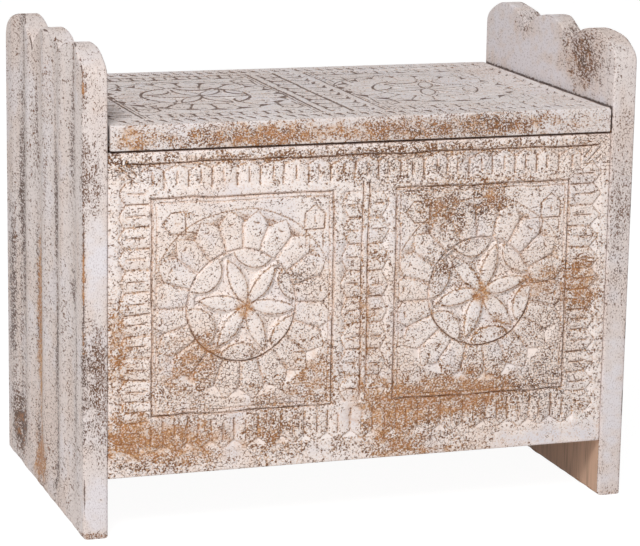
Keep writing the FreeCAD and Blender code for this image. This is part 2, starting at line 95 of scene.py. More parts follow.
class TrunkCarving(bpy.types.PropertyGroup):
    """Sizes of the carving and of the worked edges."""

    ring: length("Rosette radius", "Middle of a rosette to the groove round it", 67.5)
    shoulder: length("Leaf shoulder", "Middle of a rosette to the shoulders of the leaves", 101)
    tip: length("Leaf tip", "Middle of a rosette to the tips of the leaves", 117)
    leaves: bpy.props.IntProperty(
        name="Leaves", description="Leaves in the ring round a rosette", default=20, min=6
    )
    left_turn: angle("Left turn", "Turn of the left rosettes", -7)
    right_turn: angle("Right turn", "Turn of the right rosettes", 12)
    left_leaf_turn: angle("Left leaf turn", "Turn of the left rings of leaves", -1)
    right_leaf_turn: angle("Right leaf turn", "Turn of the right rings of leaves", 5)
    wander: length("Wander", "How far the hand-cut lines stray", 0.9)
    edge: length("Edge round", "Radius of the worn edges of the boards", 2.5)
    depth: length("Depth", "Depth of the deepest cuts of the front", 5.2)
    lid_depth: length("Lid depth", "Depth of the deepest cuts of the lid", 2.6)
    board_step: length("Border step", "Grid step of the carved borders", 1.35)
    field_step: length("Field step", "Grid step of the carved fields", 1.1)


class TrunkFinish(bpy.types.PropertyGroup):
    """Colours of the wash, the wood under it and the fittings."""

    front_wash: colour("Front wash", "Wash on the front", 246, 236, 232)
    front_tint: colour("Front tint", "Second tint of that wash", 242, 226, 217)
    # The lid's wash and tint are darker than the front's: partly a greyer wash, partly painted shade on the
    # lid's top.
    lid_wash_and_shade: colour("Lid wash", "Wash on the lid", 232, 225, 224)
    lid_tint_and_shade: colour("Lid tint", "Second tint of that wash", 228, 217, 213)
    end_wash: colour("End wash", "Wash on the ends and the back", 228, 217, 213)
    end_tint: colour("End tint", "Second tint of that wash", 224, 208, 200)
    cool_wash: colour("Cool wash", "Cool places in the wash", 230, 224, 227)
    worn_wash: colour("Worn wash", "Wash rubbed thin over orange wood", 208, 160, 114)
    worn_wood: colour("Worn wood", "Wood where the wash has rubbed away", 174, 118, 70)
    crack_wood: colour("Crack wood", "Wood in the cracks and grooves of the wash", 120, 78, 46)
    dark_wood: colour("Dark wood", "Wood in the cracks of grimy places", 82, 58, 46)
    stain: colour("Stain", "Wash of the front and the lid that the wood has stained", 194, 148, 104)
    end_stain: colour("End stain", "Smudged wash of the ends and the back", 144, 122, 116)
    inner_wood: colour("Inner wood", "Unpainted wood inside", 212, 175, 149)
    inner_grain: colour("Inner grain", "Dark grain of the unpainted wood", 112, 80, 60)
    brass: colour("Brass", "Hinges", 176, 140, 80)
    steel: colour("Steel", "Screws", 120, 118, 114)
    cover: share("Cover", "How much of the wash is left on the front", 0.78)
    lid_cover: share("Lid cover", "How much of the wash is left on the lid", 0.84)
    end_cover: share("End cover", "How much of the wash is left on the ends and the back", 0.84)


class TrunkStage(bpy.types.PropertyGroup):
    """Light and floor."""

    key: power("Key", "Power of the main lamp", 120)
    fill: power("Fill", "Power of the side lamp", 14)
    sky: share("Sky", "Level of the light from all round", 0.32)
    floor: colour("Floor", "Colour of the floor", 240, 239, 238)


# Surfaces

SHARP = math.radians(38)  # edges that bend more than this stay sharp


class Shell:
    """Points and faces of one closed surface. Each point carries its cut's dirt and cleanness, with painted
    shade and highlight.
    """

    def __init__(self):
        self.points, self.marks, self.quads, self.polygons, self.count = [], [], [], [], 0

    def put(self, points, line=0.0, clean=0.0):
        """Adds an array of points and gives their numbers in the same layout."""
        layout = points.shape[:-1]
        numbers = self.count + np.arange(math.prod(layout)).reshape(layout)
        self.points.append(points.reshape(-1, 3))
        self.marks.append(np.stack([np.broadcast_to(mark, layout).ravel() for mark in (line, clean)]))
        self.count += numbers.size
        return numbers

    def grid(self, numbers, keep=True):
        """Quads between neighbours of a grid, facing where its rows go up and its columns right."""
        quads = np.stack([numbers[:-1, :-1], numbers[:-1, 1:], numbers[1:, 1:], numbers[1:, :-1]], axis=-1)
        self.quads.append(quads[np.broadcast_to(keep, quads.shape[:2])])

    def band(self, first, second):
        """Quads between two closed rings of as many points, facing out where both run counter-clockwise."""
        self.quads.append(np.stack([first, second, np.roll(second, -1), np.roll(first, -1)], axis=-1))

    def carry(self, last, points, line=0.0):
        """Adds a closed ring of points, joined to the last ring by a band."""
        ring = self.put(points, line)
        self.band(last, ring)
        return ring

    def cap(self, ring):
        """One flat face on a counter-clockwise ring."""
        self.polygons.append(ring)


def rim(numbers):
    """The border of a grid of point numbers as one counter-clockwise ring from its first corner."""
    return np.concatenate([numbers[0, :-1], numbers[:-1, -1], numbers[-1, :0:-1], numbers[:0:-1, 0]])


def new_object(name, data):
    """An object of that data, in the scene."""
    item = bpy.data.objects.new(name, data)
    bpy.context.scene.collection.objects.link(item)
    return item


def node_box(node):
    """The lowest and highest corners of a CAD node."""
    return [np.array(corner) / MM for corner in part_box(node)]


def make_piece(name, shell, place, wear, material, body, node):
    """Makes a shell an object: place puts its points in the trunk, wear says how bare and grimy they are."""
    used, numbers = np.unique(
        np.concatenate([faces.ravel() for faces in shell.quads + shell.polygons]), return_inverse=True
    )
    points = place(np.concatenate(shell.points)[used])
    sizes = [4] * sum(len(quads) for quads in shell.quads) + [len(ring) for ring in shell.polygons]
    faces = np.split(numbers, np.cumsum(sizes)[:-1])
    mesh = bpy.data.meshes.new(name)
    mesh.from_pydata((points * MM).tolist(), [], [face.tolist() for face in faces])
    bare, grime = wear(points)
    line, clean = np.concatenate(shell.marks, axis=1)[:, used]
    marks = {"line": line, "clean": clean, "bare": bare, "grime": grime}
    for mark, values in marks.items():
        layer = mesh.attributes.new(mark, "FLOAT", "POINT")
        layer.data.foreach_set("value", np.ascontiguousarray(values, dtype=np.float32))
    mesh.polygons.foreach_set("use_smooth", np.ones(len(mesh.polygons), dtype=bool))
    mesh.set_sharp_from_angle(angle=SHARP)
    mesh.materials.append(material)
    piece = new_object(name, mesh)
    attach(piece, body)
    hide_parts(node)


def join(*columns):
    """Columns of coordinates as points."""
    return np.stack(columns, axis=-1)


def part(value):
    """A value kept between 0 and 1."""
    return np.clip(value, 0, 1)


def deepest(*cuts):
    """The most of each cut's depth, dirt and cleanness at every point."""
    return np.maximum.reduce(cuts)


def waves(x, y, seed, size):
    """Smooth noise from about -1 to 1: nine sine waves in scattered directions, each about size long."""
    total = np.zeros(np.broadcast(x, y).shape)
    for turn, phase, stretch in np.random.default_rng(seed).random((9, 3)):
        way, wave = 2 * np.pi * turn, size * (0.6 + stretch)
        total += np.sin(2 * np.pi * ((x * np.cos(way) + y * np.sin(way)) / wave + phase))
    return total / 4


def ramp(value, low, high):
    """Rises smoothly from 0 at low to 1 at high."""
    t = part((value - low) / (high - low))
    return t * t * (3 - 2 * t)


def span(value, low, high, soft):
    """1 between low and high, falling to 0 over soft inside each end."""
    return part((value - low) / soft) * part((high - value) / soft)


def fold(value, pitch):
    """Distance from the middle of the repeat that a value lies in."""
    return np.mod(value, pitch) - pitch / 2


def scatter(index, count, seed):
    """A number from -1 to 1 that stays the same over one repeat of a pattern."""
    return np.random.default_rng(seed).uniform(-1, 1, count)[np.mod(index, count).astype(int)]


# Each cut is three arrays: how deep it goes, how much dirt and painted shade its line holds, and how much
# cleaner its facet is kept, which is painted highlight on chip facets that face the light.


def groove(distance, width, depth):
    """A V-shaped groove: deepest on its line, gone at half its width. Its dirt fades out at its width."""
    away = np.abs(distance) / width
    return np.stack([depth * part(1 - 2 * away), part(1 - away), np.zeros_like(away)])


def hollow(depth, clean=0.0, line=0.0):
    """A carved hollow, with its facet's cleanness and dirt, which also carry painted highlight and shade."""
    return np.stack([depth, np.broadcast_to(line, depth.shape), np.broadcast_to(clean, depth.shape)])


def repeats(along, start, end, copies, sway, seed):
    """Pitch and index of a row's repeats, and the distance from each one's middle, which strays by sway."""
    pitch = (end - start) / copies
    index = np.floor((along - start) / pitch)
    return pitch, index, fold(along - start, pitch) - sway * pitch * scatter(index, copies, seed)


CHIP_WALL = 1.1  # run of the steep wall of a chip, where it meets a gable


def pickets(along, out, start, end, copies, reach, roof, depth, seed, clean=0.0, soil_and_shade=0.0):
    """A row of house-shaped leaves: each repeat has a joint, a slit up its middle and a gabled end at reach.

    Beyond the gable the wood is chipped away, deepest at the gable and rising to the line at reach. By the
    last two values its chips are kept cleaner as painted highlight and hold dirt with painted shade.
    """
    pitch, index, middle = repeats(along, start, end, copies, 0.05, seed)
    reach = reach + 1.1 * scatter(index, copies, seed + 1)
    slope = part(np.abs(middle) / (pitch / 2))
    gable = reach - roof * slope
    chip = depth * part((reach - out) / roof) * part((out - gable) / CHIP_WALL)
    joint = groove(pitch / 2 - np.abs(fold(along - start, pitch)), 3.9, 0.7 * depth)
    slit = groove(middle, 3.2, 0.55 * depth)
    cut = deepest(
        hollow(chip, clean * (chip > 0.25 * depth), soil_and_shade * ramp(chip, 0.05 * depth, 0.5 * depth)),
        hollow(0.35 * depth * slope**2 * (out < gable) * span(out, 0, reach, 3)),
        groove(out - gable, 3.2, 0.45 * depth) * span(out, 0, reach, 1),
        joint * span(out, 0, reach - roof + 1, 1),
        slit * span(out, 0.1 * reach, 0.8 * reach, 3),
    )
    return cut * span(along, start, end, 0.6)


# Factors of a cut's depth, dirt and cleanness that leave less dirt in a line
FRAME_LINE = np.array([1.0, 0.9, 1.0])[:, None, None]
LIGHT_LINE = np.array([1.0, 0.75, 1.0])[:, None, None]


def leaf_ring(rho, phi, turn, sizes, depth, soil_and_shade):
    """Pointed leaves round a rosette, with gaps between them, chips between their tips and a gouge on each.

    The chips hold dirt by the given share, and more dirt with painted shade in the upper half, whose facets
    face down. The lower facets, which face up, are kept cleaner and whiter as painted highlight.
    """
    step = 2 * np.pi / sizes.leaves
    index = np.floor((phi - turn) / step)
    middle = fold(phi - turn, step)
    slope = np.abs(middle) / (step / 2)
    tip = sizes.tip + 1.5 * scatter(index, sizes.leaves, 11)
    roof = sizes.tip - sizes.shoulder
    gable = tip - roof * slope
    chip = depth * part((tip - rho) / roof) * part((rho - gable) / CHIP_WALL)
    gap = groove((step / 2 - np.abs(middle)) * rho, 5.4, 0.8 * depth)
    side, out = rho * np.sin(middle), rho * np.cos(middle) - sizes.shoulder
    clean = (1 - soil_and_shade) * ramp(-np.sin(phi), 0.3, 0.8)
    soil_and_shade = np.maximum(soil_and_shade, 0.8 * ramp(np.sin(phi), -0.1, 0.5))
    gouge = groove(out + 1 - side**2 / 9, 3.4, 0.5 * depth)
    return deepest(
        hollow(chip, clean * (chip > 0.2 * depth), soil_and_shade * ramp(chip, 0.05 * depth, 0.5 * depth)),
        hollow(0.5 * depth * slope**3 * (rho < gable)),
        groove(rho - gable, 2.8, 0.35 * depth) * (rho < tip),
        groove(rho - sizes.tip - 1, 2.8, 0.25 * depth) * (0.4 + 0.6 * ramp(np.sin(phi), 0, 0.6)),
        gap * span(rho, sizes.ring, sizes.shoulder + 2, 2) * LIGHT_LINE,
        gouge * span(side, -5, 5, 2),
    )


def rosette(rho, phi, turn, radius, depth):
    """Six lens-shaped petals with a crease, and scalloped hollows between them and the ring."""
    reach, half, lobe = 0.9 * radius, 0.135 * radius, 0.4 * radius
    across = fold(phi - turn + np.pi / 6, np.pi / 3)
    a, b = rho * np.cos(across), np.abs(rho * np.sin(across))
    bow = (reach**2 / 4 + half**2) / (2 * half)
    petal = bow - np.hypot(a - reach / 2, b + bow - half)
    across = fold(phi - turn, np.pi / 3)
    scallop = lobe - np.hypot(rho * np.cos(across) - 1.08 * radius, rho * np.sin(across))
    near = np.minimum(np.minimum(-petal, -scallop), radius - rho)
    bowl = depth * part(near / 4.5) ** 0.7
    crown = 0.4 * depth * part(1 - petal / half) ** 2
    sunk = np.where(near > 0, bowl, np.where(petal > 0, crown, 0))
    return deepest(
        hollow(sunk, 0.18 * ramp(petal, 0, 2), 0.3 * (petal > 0)),
        groove(b, 2.4, 0.3 * depth) * (petal > 0) * 0.6,
        groove(petal, 3, 0.5 * depth),
        groove(scallop, 3, 0.5 * depth),
        groove(rho, 9, 0.6 * depth),
    )


def medallion(x, y, turn, leaf_turn, slip, sizes, depth, soil_and_shade):
    """A ringed rosette inside a ring of leaves. The rosette sits right of the ring's middle by slip."""
    rho, phi = np.hypot(x, y), np.arctan2(y, x)
    inside = rosette(np.hypot(x - slip, y), np.arctan2(y, x - slip), turn, sizes.ring, depth)
    inside = inside * part((sizes.ring - rho) / 2)
    outside = leaf_ring(rho, phi, leaf_turn, sizes, depth, soil_and_shade)
    ring = groove(rho - sizes.ring - 0.5, 4.4, 0.85 * depth)
    ring[1] *= 0.65 + 0.35 * np.maximum(soil_and_shade, ramp(-y, -20, 30))
    return np.maximum(np.where(rho < sizes.ring, inside, outside), ring)


def gabled_leaf(out, across, depth):
    """A leaf with a gabled end, a vein, and two stems behind it."""
    half, reach, roof = 13, 30, 11
    edge = np.minimum(np.minimum(half - across, out), reach - out - across * roof / half)
    vein = groove(across, 2.8, 0.35 * depth) * span(out, 5, 0.6 * reach, 3)
    stem = groove(across - half + 2, 2.8, 0.4 * depth) * span(out, -24, 0, 3)
    return deepest(groove(edge, 3.4, 0.5 * depth), vein, stem)


def corner_hatch(x, y, depth):
    """Slanting strokes in the two lower corners of a field, outside its medallion."""
    line = fold((np.abs(x) + y) / math.sqrt(2) + 1.2 * waves(x, y, 8, 40), 7.5)
    near = ramp(np.hypot(x, y), 121, 124) * (y < 0)
    return groove(line, 2.8, 0.45 * depth) * near * ramp(waves(x, y, 9, 26), -0.5, 0.5) * 0.75


def ticks(along, out, start, end, copies, reach, lean, depth, seed):
    """A row of leaning notches, each wide near its start and tapering to its end."""
    *_, middle = repeats(along, start, end, copies, 0.1, seed)
    middle = middle - lean * (out - reach / 2)
    width = 10 * part(out / (0.15 * reach)) * part((reach - out) / (0.85 * reach))
    sunk = part(1 - 2 * np.abs(middle) / np.maximum(width, 0.1))
    return hollow(depth * sunk, 0.0, part(3 * sunk)) * span(along, start, end, 0.6)


def strokes(x, y, corner_x, corner_y, depth):
    """Three slanting strokes in each outer corner of a border."""
    along, away = np.abs(x) - corner_x, y - corner_y
    line = fold((along - away) / math.sqrt(2), 8)
    near = span(along, 0, 26, 2) * span(away, 0, 20, 2)
    return groove(line, 3, 0.55 * depth) * near


def stray(x, y, wander):
    """Coordinates shifted a little, as a line cut by hand strays from the ruler."""
    return x + wander * waves(x, y, 3, 60), y + wander * waves(x, y, 4, 60)


FRONT_FIELD = (113, 132)  # half width and half height of a carved field
FRONT_MIDDLE = (153, 277)  # middle of the right field
LID_FIELD = (113, 161)
LID_MIDDLE = (153, 0)
BEAD = 5.2  # width of the bead round a field
OFF_MIDDLE = 1.8  # how far a medallion sits left of and below the middle of its field
SLIPS = (6.5, 2)  # how far the left and right rosettes sit right of the middle of their rings


def field(x, y, middle, half, sizes, depth, soil_and_shade, extra):
    """The cuts in the two carved fields, and the pair of grooves that frames each."""
    cut = np.zeros((3, *x.shape))
    turns = ((-1, sizes.left_turn, sizes.left_leaf_turn), (1, sizes.right_turn, sizes.right_leaf_turn))
    for (side, turn, leaf_turn), slip in zip(turns, SLIPS):
        u, v = x - side * middle[0], y - middle[1]
        edge = np.minimum(half[0] - np.abs(u), half[1] - np.abs(v))
        inner = medallion(u + OFF_MIDDLE, v + OFF_MIDDLE, turn, leaf_turn, slip, sizes, depth, soil_and_shade)
        inner = deepest(inner, extra(u, v)) * part(edge / 2)
        inner = deepest(inner, hollow(np.full_like(x, 0.15 * depth)))
        frame_line = groove(edge, 4.2, 0.8 * depth) * FRAME_LINE
        bead_line = groove(edge - BEAD, 3.2, 0.5 * depth) * LIGHT_LINE
        cut = deepest(cut, np.where(edge > 0, inner, 0), frame_line, bead_line)
    return cut


def front_carving(sizes):
    """Cuts of the front: two framed fields, rows of gabled leaves round and between them, and ruled lines."""
    depth, picket = sizes.depth, 0.8 * sizes.depth
    low, high, side = 139, 420, 268  # inner edges of the border
    end = 281  # half length of its top and bottom rows
    uprights = (112, 430)  # ends of its side rows
    middles = (146, 408)  # ends of the two rows between the fields
    gap = 4  # from the middle of the front to those rows
    upper, lower = 451.5, 94  # heights of the ruled lines

    def extra(u, v):
        left = gabled_leaf(-u - 71, np.abs(v - 101), depth) * (u < -60)
        right = gabled_leaf(v - 87, np.abs(u - 89), depth)
        return deepest(left, right, corner_hatch(u, v, depth))

    def cut(x, z):
        x, z = stray(x, z, sizes.wander)
        upright = np.where((np.abs(x) > end) | ((z > low) & (z < high)), 1, 0)
        return deepest(
            # The lower row, the right side row and the right middle row keep their chips cleaner as painted
            # highlight: those facets face up or left, towards the light.
            pickets(x, z - high, -end, end, 19, 31, 8.5, picket, 21),
            pickets(x, low - z, -end, end, 19, 40, 11, picket, 22, 0.8),
            pickets(z, -x - side, *uprights, 12, 39, 8.6, picket, 23) * upright,
            pickets(z, x - side, *uprights, 12, 40.5, 11.5, picket, 24, 0.4) * upright,
            pickets(z, x - gap, *middles, 8, 27, 9.5, picket, 25, 0.3),
            pickets(z, -x - gap, *middles, 8, 27, 9.5, picket, 26),
            groove(np.abs(x) - gap, 3.4, 0.6 * depth) * span(z, middles[0], high, 2),
            groove(z - upper, 4.4, 0.8 * depth) * span(x, -300, 308, 4),
            groove(z - lower, 2.2, 0.25 * depth) * span(x, -300, 300, 4) * 0.5,
            strokes(x, z, 283, 431, depth),
            field(x, z, FRONT_MIDDLE, FRONT_FIELD, sizes, depth, 0.0, extra),
        )

    return cut


def lid_carving(sizes):
    """Cuts of the lid's top: two framed fields with gabled rows at their ends, notched borders and lines."""
    depth = sizes.lid_depth
    soil_and_shade = 0.8  # dirt and painted shade in the chips of the rows
    front, back, end = 168, 172, 300  # inner edges and half length of the notched rows
    side, half = 270, 160  # inner edges and half length of the side rows
    gap, middle = 4, 158  # the same of the two rows between the fields

    def extra(u, v):
        rows = pickets(u, LID_FIELD[1] - np.abs(v), -104, 104, 7, 30, 10, depth, 31, 0, soil_and_shade)
        corner = gabled_leaf(np.abs(v) - 92, np.abs(np.abs(u) - 90), depth)
        return deepest(rows, corner * (np.abs(v) < 129))

    def cut(x, y):
        x, y = stray(x, y, sizes.wander)
        total = deepest(
            ticks(x, -y - front, -end, end, 38, 32, 0.22, depth, 32),
            ticks(x, y - back, -end, end, 40, 32, -0.22, depth, 33),
            pickets(y, -x - side, -half, half, 12, 36, 9, depth, 34, 0, soil_and_shade),
            pickets(y, x - side, -half, half, 12, 36, 9, depth, 35, 0, soil_and_shade),
            pickets(y, x - gap, -middle, middle, 10, 27, 9, depth, 36, 0, soil_and_shade),
            pickets(y, -x - gap, -middle, middle, 10, 27, 9, depth, 37, 0, soil_and_shade),
            groove(x + 3, 4.4, 0.8 * depth) * span(y, -165, 168, 2),
            # A dark line painted along the lid's right edge: painted shade of the gap beside the right end.
            hollow(np.zeros_like(x), 0.0, ramp(x, 312, 315) * span(y, -206, 206, 8)),
            field(x, y, LID_MIDDLE, LID_FIELD, sizes, depth, 0.9, extra),
        )
        # The lines are darker towards the lid's left side, as dirt and painted shade in its cuts.
        total[1] *= 1.05 - 0.3 * ramp(x, -50, 250) * (x < 310)
        return total

    return cut


BACK_JOINTS = (203, 334)  # heights of the joints between the back's boards
BACK_STEPS = (4, 2)  # grid steps along and up the back


def plain_carving(x, z):
    """The back's uneven face with the joints between its boards."""
    joints = [groove(z - height, 2.4, 1.6) for height in BACK_JOINTS]
    return deepest(*joints, hollow(0.25 * (1 + waves(x, z, 5, 90))))


def board_lines(low, high, stops, step, edge):
    """Grid lines from low to high: arcs over the rounded edges, and even steps between the stops."""
    stops = [low + edge, *stops, high - edge]
    runs = [np.linspace(a, b, max(2, round((b - a) / step) + 1)) for a, b in zip(stops, stops[1:])]
    arc = edge * (1 - np.cos(np.linspace(0, np.pi / 2, 5)))
    return np.unique(np.round(np.concatenate([low + arc, *runs, high - arc]), 4))


NEAR = 0.001  # lengths that differ by less are taken as the same


def carved_board(us, vs, cut, thickness, edge, windows=(), recess=0.0, sockets=()):
    """A board as a height over a grid: its face goes down by the cuts and by a quarter circle at its edges.

    Its sides drop straight to a smaller round and a flat back. Each window is open down to a floor at recess,
    for a field to sit in. Each socket is a round trough in the back, given by two ends, a middle line, a
    radius and how far its axis lies below the back.
    """
    shell = Shell()
    u, v = np.meshgrid(us, vs)
    depth, line, clean = cut(u, v)
    near_u = part(1 - np.minimum(u - us[0], us[-1] - u) / max(edge, NEAR))
    near_v = part(1 - np.minimum(v - vs[0], vs[-1] - v) / max(edge, NEAR))
    drop = edge * (1 - np.sqrt(1 - part(near_u**2 + near_v**2)))
    face = shell.put(join(u, v, -depth - drop), line, clean)
    keep = np.ones((len(vs) - 1, len(us) - 1), dtype=bool)
    for left, right, low, high in windows:
        first, last = np.searchsorted(us, (left - NEAR, right - NEAR))
        bottom, top = np.searchsorted(vs, (low - NEAR, high - NEAR))
        keep[bottom:top, first:last] = False
        block = (slice(bottom, top + 1), slice(first, last + 1))
        mouth = rim(face[block])
        floor = shell.put(join(rim(u[block]), rim(v[block]), np.full(mouth.shape, -recess)))
        shell.band(floor, mouth)
        shell.cap(floor)
    shell.grid(face, keep)
    under = 0.6 * edge
    ring, last = join(rim(u), rim(v)), rim(face)
    middle = np.array([(us[0] + us[-1]) / 2, (vs[0] + vs[-1]) / 2])
    reach = np.array([us[-1] - us[0], vs[-1] - vs[0]]) / 2
    bends = np.linspace(0, np.pi / 2, 5) if edge else np.array([np.pi / 2])
    steps = np.linspace(edge, thickness - under, 9)[1:-1] if edge else ()
    levels = [(0.0, height) for height in steps]
    levels += [(under * (1 - np.cos(bend)), thickness - under * (1 - np.sin(bend))) for bend in bends]
    for inset, height in levels:
        spot = middle + (ring - middle) * (1 - inset / reach)
        last = shell.carry(last, join(*spot.T, np.full(len(spot), -height)))
    if sockets:
        troughs(shell, last, us, vs, thickness, sockets)
    else:
        shell.cap(last[::-1])
    return shell


STEEP = 0.02  # half the run of a trough's end walls
MARGIN = 12  # from a board's rim to the grid round its troughs
BACK_MARGIN = 8  # the same at its back edge


def troughs(shell, ring, us, vs, thickness, sockets):
    """A board's back with round troughs: a grid sunk by each circle, joined to the rim by four flat faces."""
    *_, middle, radius, sink = sockets[0]
    reach = math.sqrt(radius**2 - sink**2)
    across = middle - reach * np.cos(np.linspace(0, np.pi, 9))
    ends = [end + lean for socket in sockets for end in socket[:2] for lean in (-STEEP, STEEP)]
    inner_u = np.array([us[0] + MARGIN, *ends, us[-1] - MARGIN])
    inner_v = np.array([vs[0] + MARGIN, *across, vs[-1] - BACK_MARGIN])
    u, v = np.meshgrid(inner_u, inner_v)
    rise = np.sqrt(np.clip(radius**2 - (v - middle) ** 2, 0, None)) - sink
    within = np.any([(u > low) & (u < high) for low, high, *_ in sockets], axis=0)
    inner = shell.put(join(u, v, np.where(within, np.clip(rise, 0, None), 0) - thickness))
    shell.grid(inner[:, ::-1])
    corners = np.cumsum([0, len(us) - 1, len(vs) - 1, len(us) - 1, len(vs) - 1])
    outer = np.append(ring, ring[0])
    sides = (inner[0], inner[:, -1], inner[-1, ::-1], inner[::-1, 0])
    for first, last, side in zip(corners, corners[1:], sides):
        shell.cap(np.concatenate([side, outer[first : last + 1][::-1]]))


def lobe_outline(half, notch, top, shoulder, columns):
    """Outline of three equal lobes, each a crown arc between two shoulder arcs, upright at the notches.

    Gives the points from left to right, and the directions in which they stand out.
    """
    reach, rise = half / 3, top - notch
    crown = ((reach - shoulder) ** 2 / (rise - shoulder) + rise + shoulder) / 2
    local = -reach * np.cos(np.linspace(0, np.pi, columns + 1))
    side = np.abs(local) - (reach - shoulder)
    on_crown = np.abs(local) < (reach - shoulder) * crown / (crown - shoulder)
    height = np.where(
        on_crown,
        rise - crown + np.sqrt(crown**2 - local**2),
        np.sqrt(np.clip(shoulder**2 - side**2, 0, None)),
    )
    lean = np.where(on_crown, local / crown, np.sign(local) * side / shoulder)
    lift = np.where(on_crown, (height - rise + crown) / crown, height / shoulder)
    y = np.concatenate([local[:-1] - 2 * reach, local[:-1], local + 2 * reach])
    z = notch + np.concatenate([height[:-1], height[:-1], height])
    out = join(*(np.concatenate([way[:-1], way[:-1], way]) for way in (lean, lift)))
    out[columns] = out[2 * columns] = (0, 1)
    return join(y, z), out


LOBE_RISE = 36  # from the notches to the tops of the lobes
LOBE_SHOULDER = 22  # radius of their shoulder arcs
LOBE_COLUMNS = 44  # grid columns of one lobe
END_ROWS = 170  # grid rows from the foot to the lobes
SHADED_GAP = (464, 501)  # heights between which the inner face is painted dark as the shade of the gap where the lid meets it
FLUTES = (-135, -45, 45, 135)  # middles of the flutes
FLUTE_RADIUS = 111
FLUTE_DEPTH = 6
FLUTE_FOOT = 56  # height of the balls' middles at the foot
FLUTE_EDGE = 2  # softness of the flutes' edges


def flute_depth(y, z):
    """Four upright round scoops, each a ball drawn up the board from its foot, with worn round edges."""
    low = np.minimum(0, z - FLUTE_FOOT)
    reach = [np.sqrt(np.clip(FLUTE_RADIUS**2 - (y - middle) ** 2 - low**2, 0, None)) for middle in FLUTES]
    sunk = np.max(reach, axis=0) - (FLUTE_RADIUS - FLUTE_DEPTH)
    return np.clip((sunk + np.hypot(sunk, FLUTE_EDGE) - 0.1 * FLUTE_EDGE) / 2, 0, FLUTE_DEPTH)


def lobed_end(side, edge):
    """An end board: two faces over a grid from the foot to the lobes, joined round the outline by a rim.

    Each column goes straight from the foot to the lobed top. The rim follows the outline, and its round is
    wider where the edge is more worn. The outer face is sunk by the flutes.
    """
    low, high = node_box("left_end")
    half, thickness = (high[1] - low[1]) / 2, high[0] - low[0]
    top, out = lobe_outline(half, high[2] - LOBE_RISE, high[2], LOBE_SHOULDER, LOBE_COLUMNS)
    rows = np.linspace(0, 1, END_ROWS)[:, None, None]
    foot = join(top[:, 0], np.zeros(len(top)))
    worn = edge * (1 + 0.45 * waves(top[:, 0], top[:, 1], 7 + side, 45))
    foot_worn = edge * (1.2 + 0.45 * waves(top[:, 0], 0 * top[:, 1], 17 + side, 35))
    inner_top = top - worn[:, None] * out
    inner_foot = join(foot[:, 0] * (1 - edge / half), foot_worn)
    face = inner_foot + (inner_top - inner_foot) * rows
    full = foot + (top - foot) * rows
    shell = Shell()

    def lay(flat, sunk):
        return join(np.broadcast_to(sunk, flat.shape[:-1]), flat[..., 0], flat[..., 1])

    flutes = flute_depth(face[..., 0], face[..., 1])
    outer = shell.put(lay(face, flutes))
    # Between those heights the inner face holds a dark line: painted shade of the gap where the lid meets the
    # end.
    inner = shell.put(lay(face, thickness), span(face[..., 1], *SHADED_GAP, 3))
    shell.grid(outer)
    shell.grid(inner[:, ::-1])
    ring_face = join(rim(face[..., 0]), rim(face[..., 1]))
    ring_full = join(rim(full[..., 0]), rim(full[..., 1]))
    ring_flute = rim(flutes)
    turn = np.hypot(*(ring_face - ring_full).T)
    # A dark line round the rims, strongest midway round each bend: dirt and painted shade on the worn edges.
    dirt = 0.35 + 0.6 * ramp(waves(ring_full[:, 0] * 3, ring_full[:, 1], 19 + side, 120), -0.5, 0.7)
    bends = np.linspace(0, np.pi / 2, 5)[1:]
    levels = [(bend, ring_flute + turn * (1 - np.cos(bend)), dirt) for bend in bends]
    for way in np.linspace(0, 1, 9)[1:-1]:
        levels.append((np.pi / 2, (ring_flute + turn) * (1 - way) + (thickness - turn) * way, 0 * dirt))
    levels += [(bend, thickness - turn * (1 - np.cos(bend)), 0.7 * dirt) for bend in bends[::-1]]
    last = rim(outer)
    for bend, sunk, soil_and_shade in levels:
        spot = ring_full + (ring_face - ring_full) * (1 - np.sin(bend))
        last = shell.carry(last, lay(spot, sunk), soil_and_shade * np.sin(2 * bend))
    shell.band(last, rim(inner))
    if side < 0:
        shell.quads = [quads[:, ::-1] for quads in shell.quads]
    return shell


# Wear: rubbed, grimy and (below zero) clean places, each a middle, three half sizes and a strength


def on_front(*places):
    """Places on the front's face, given by x, z, half width, half height and strength."""
    face, deep = -207, 20
    return [(x, face, z, wide, deep, high, strength) for x, z, wide, high, strength in places]


FRONT_BARE = on_front(
    (-300, 119, 48, 25, 1.3), (-225, 110, 62, 30, 1.05), (-308, 225, 20, 62, 0.95),
    (-222, 205, 40, 42, 0.8), (-194, 224, 20, 14, 0.5), (-64, 186, 34, 40, 0.75), (-116, 114, 32, 32, 0.7),
    (-130, 165, 40, 20, 0.4), (3, 255, 18, 85, 0.5), (30, 130, 34, 50, 0.5), (84, 140, 88, 32, 1.0),
    (160, 150, 50, 26, 0.7), (48, 86, 36, 18, 0.9), (120, 78, 60, 8, 0.5), (154, 272, 11, 13, 1.3),
    (182, 236, 16, 14, 0.4), (-151, 271, 11, 14, 1.3), (-142, 216, 12, 10, 0.5), (288, 274, 24, 38, 1.1),
    (232, 282, 34, 26, 0.7), (97, 384, 24, 24, 0.8), (162, 394, 18, 16, 1.0), (165, 414, 110, 6, 0.4),
    (140, 270, 110, 120, 0.2), (0, 455, 340, 7, 0.55),
)
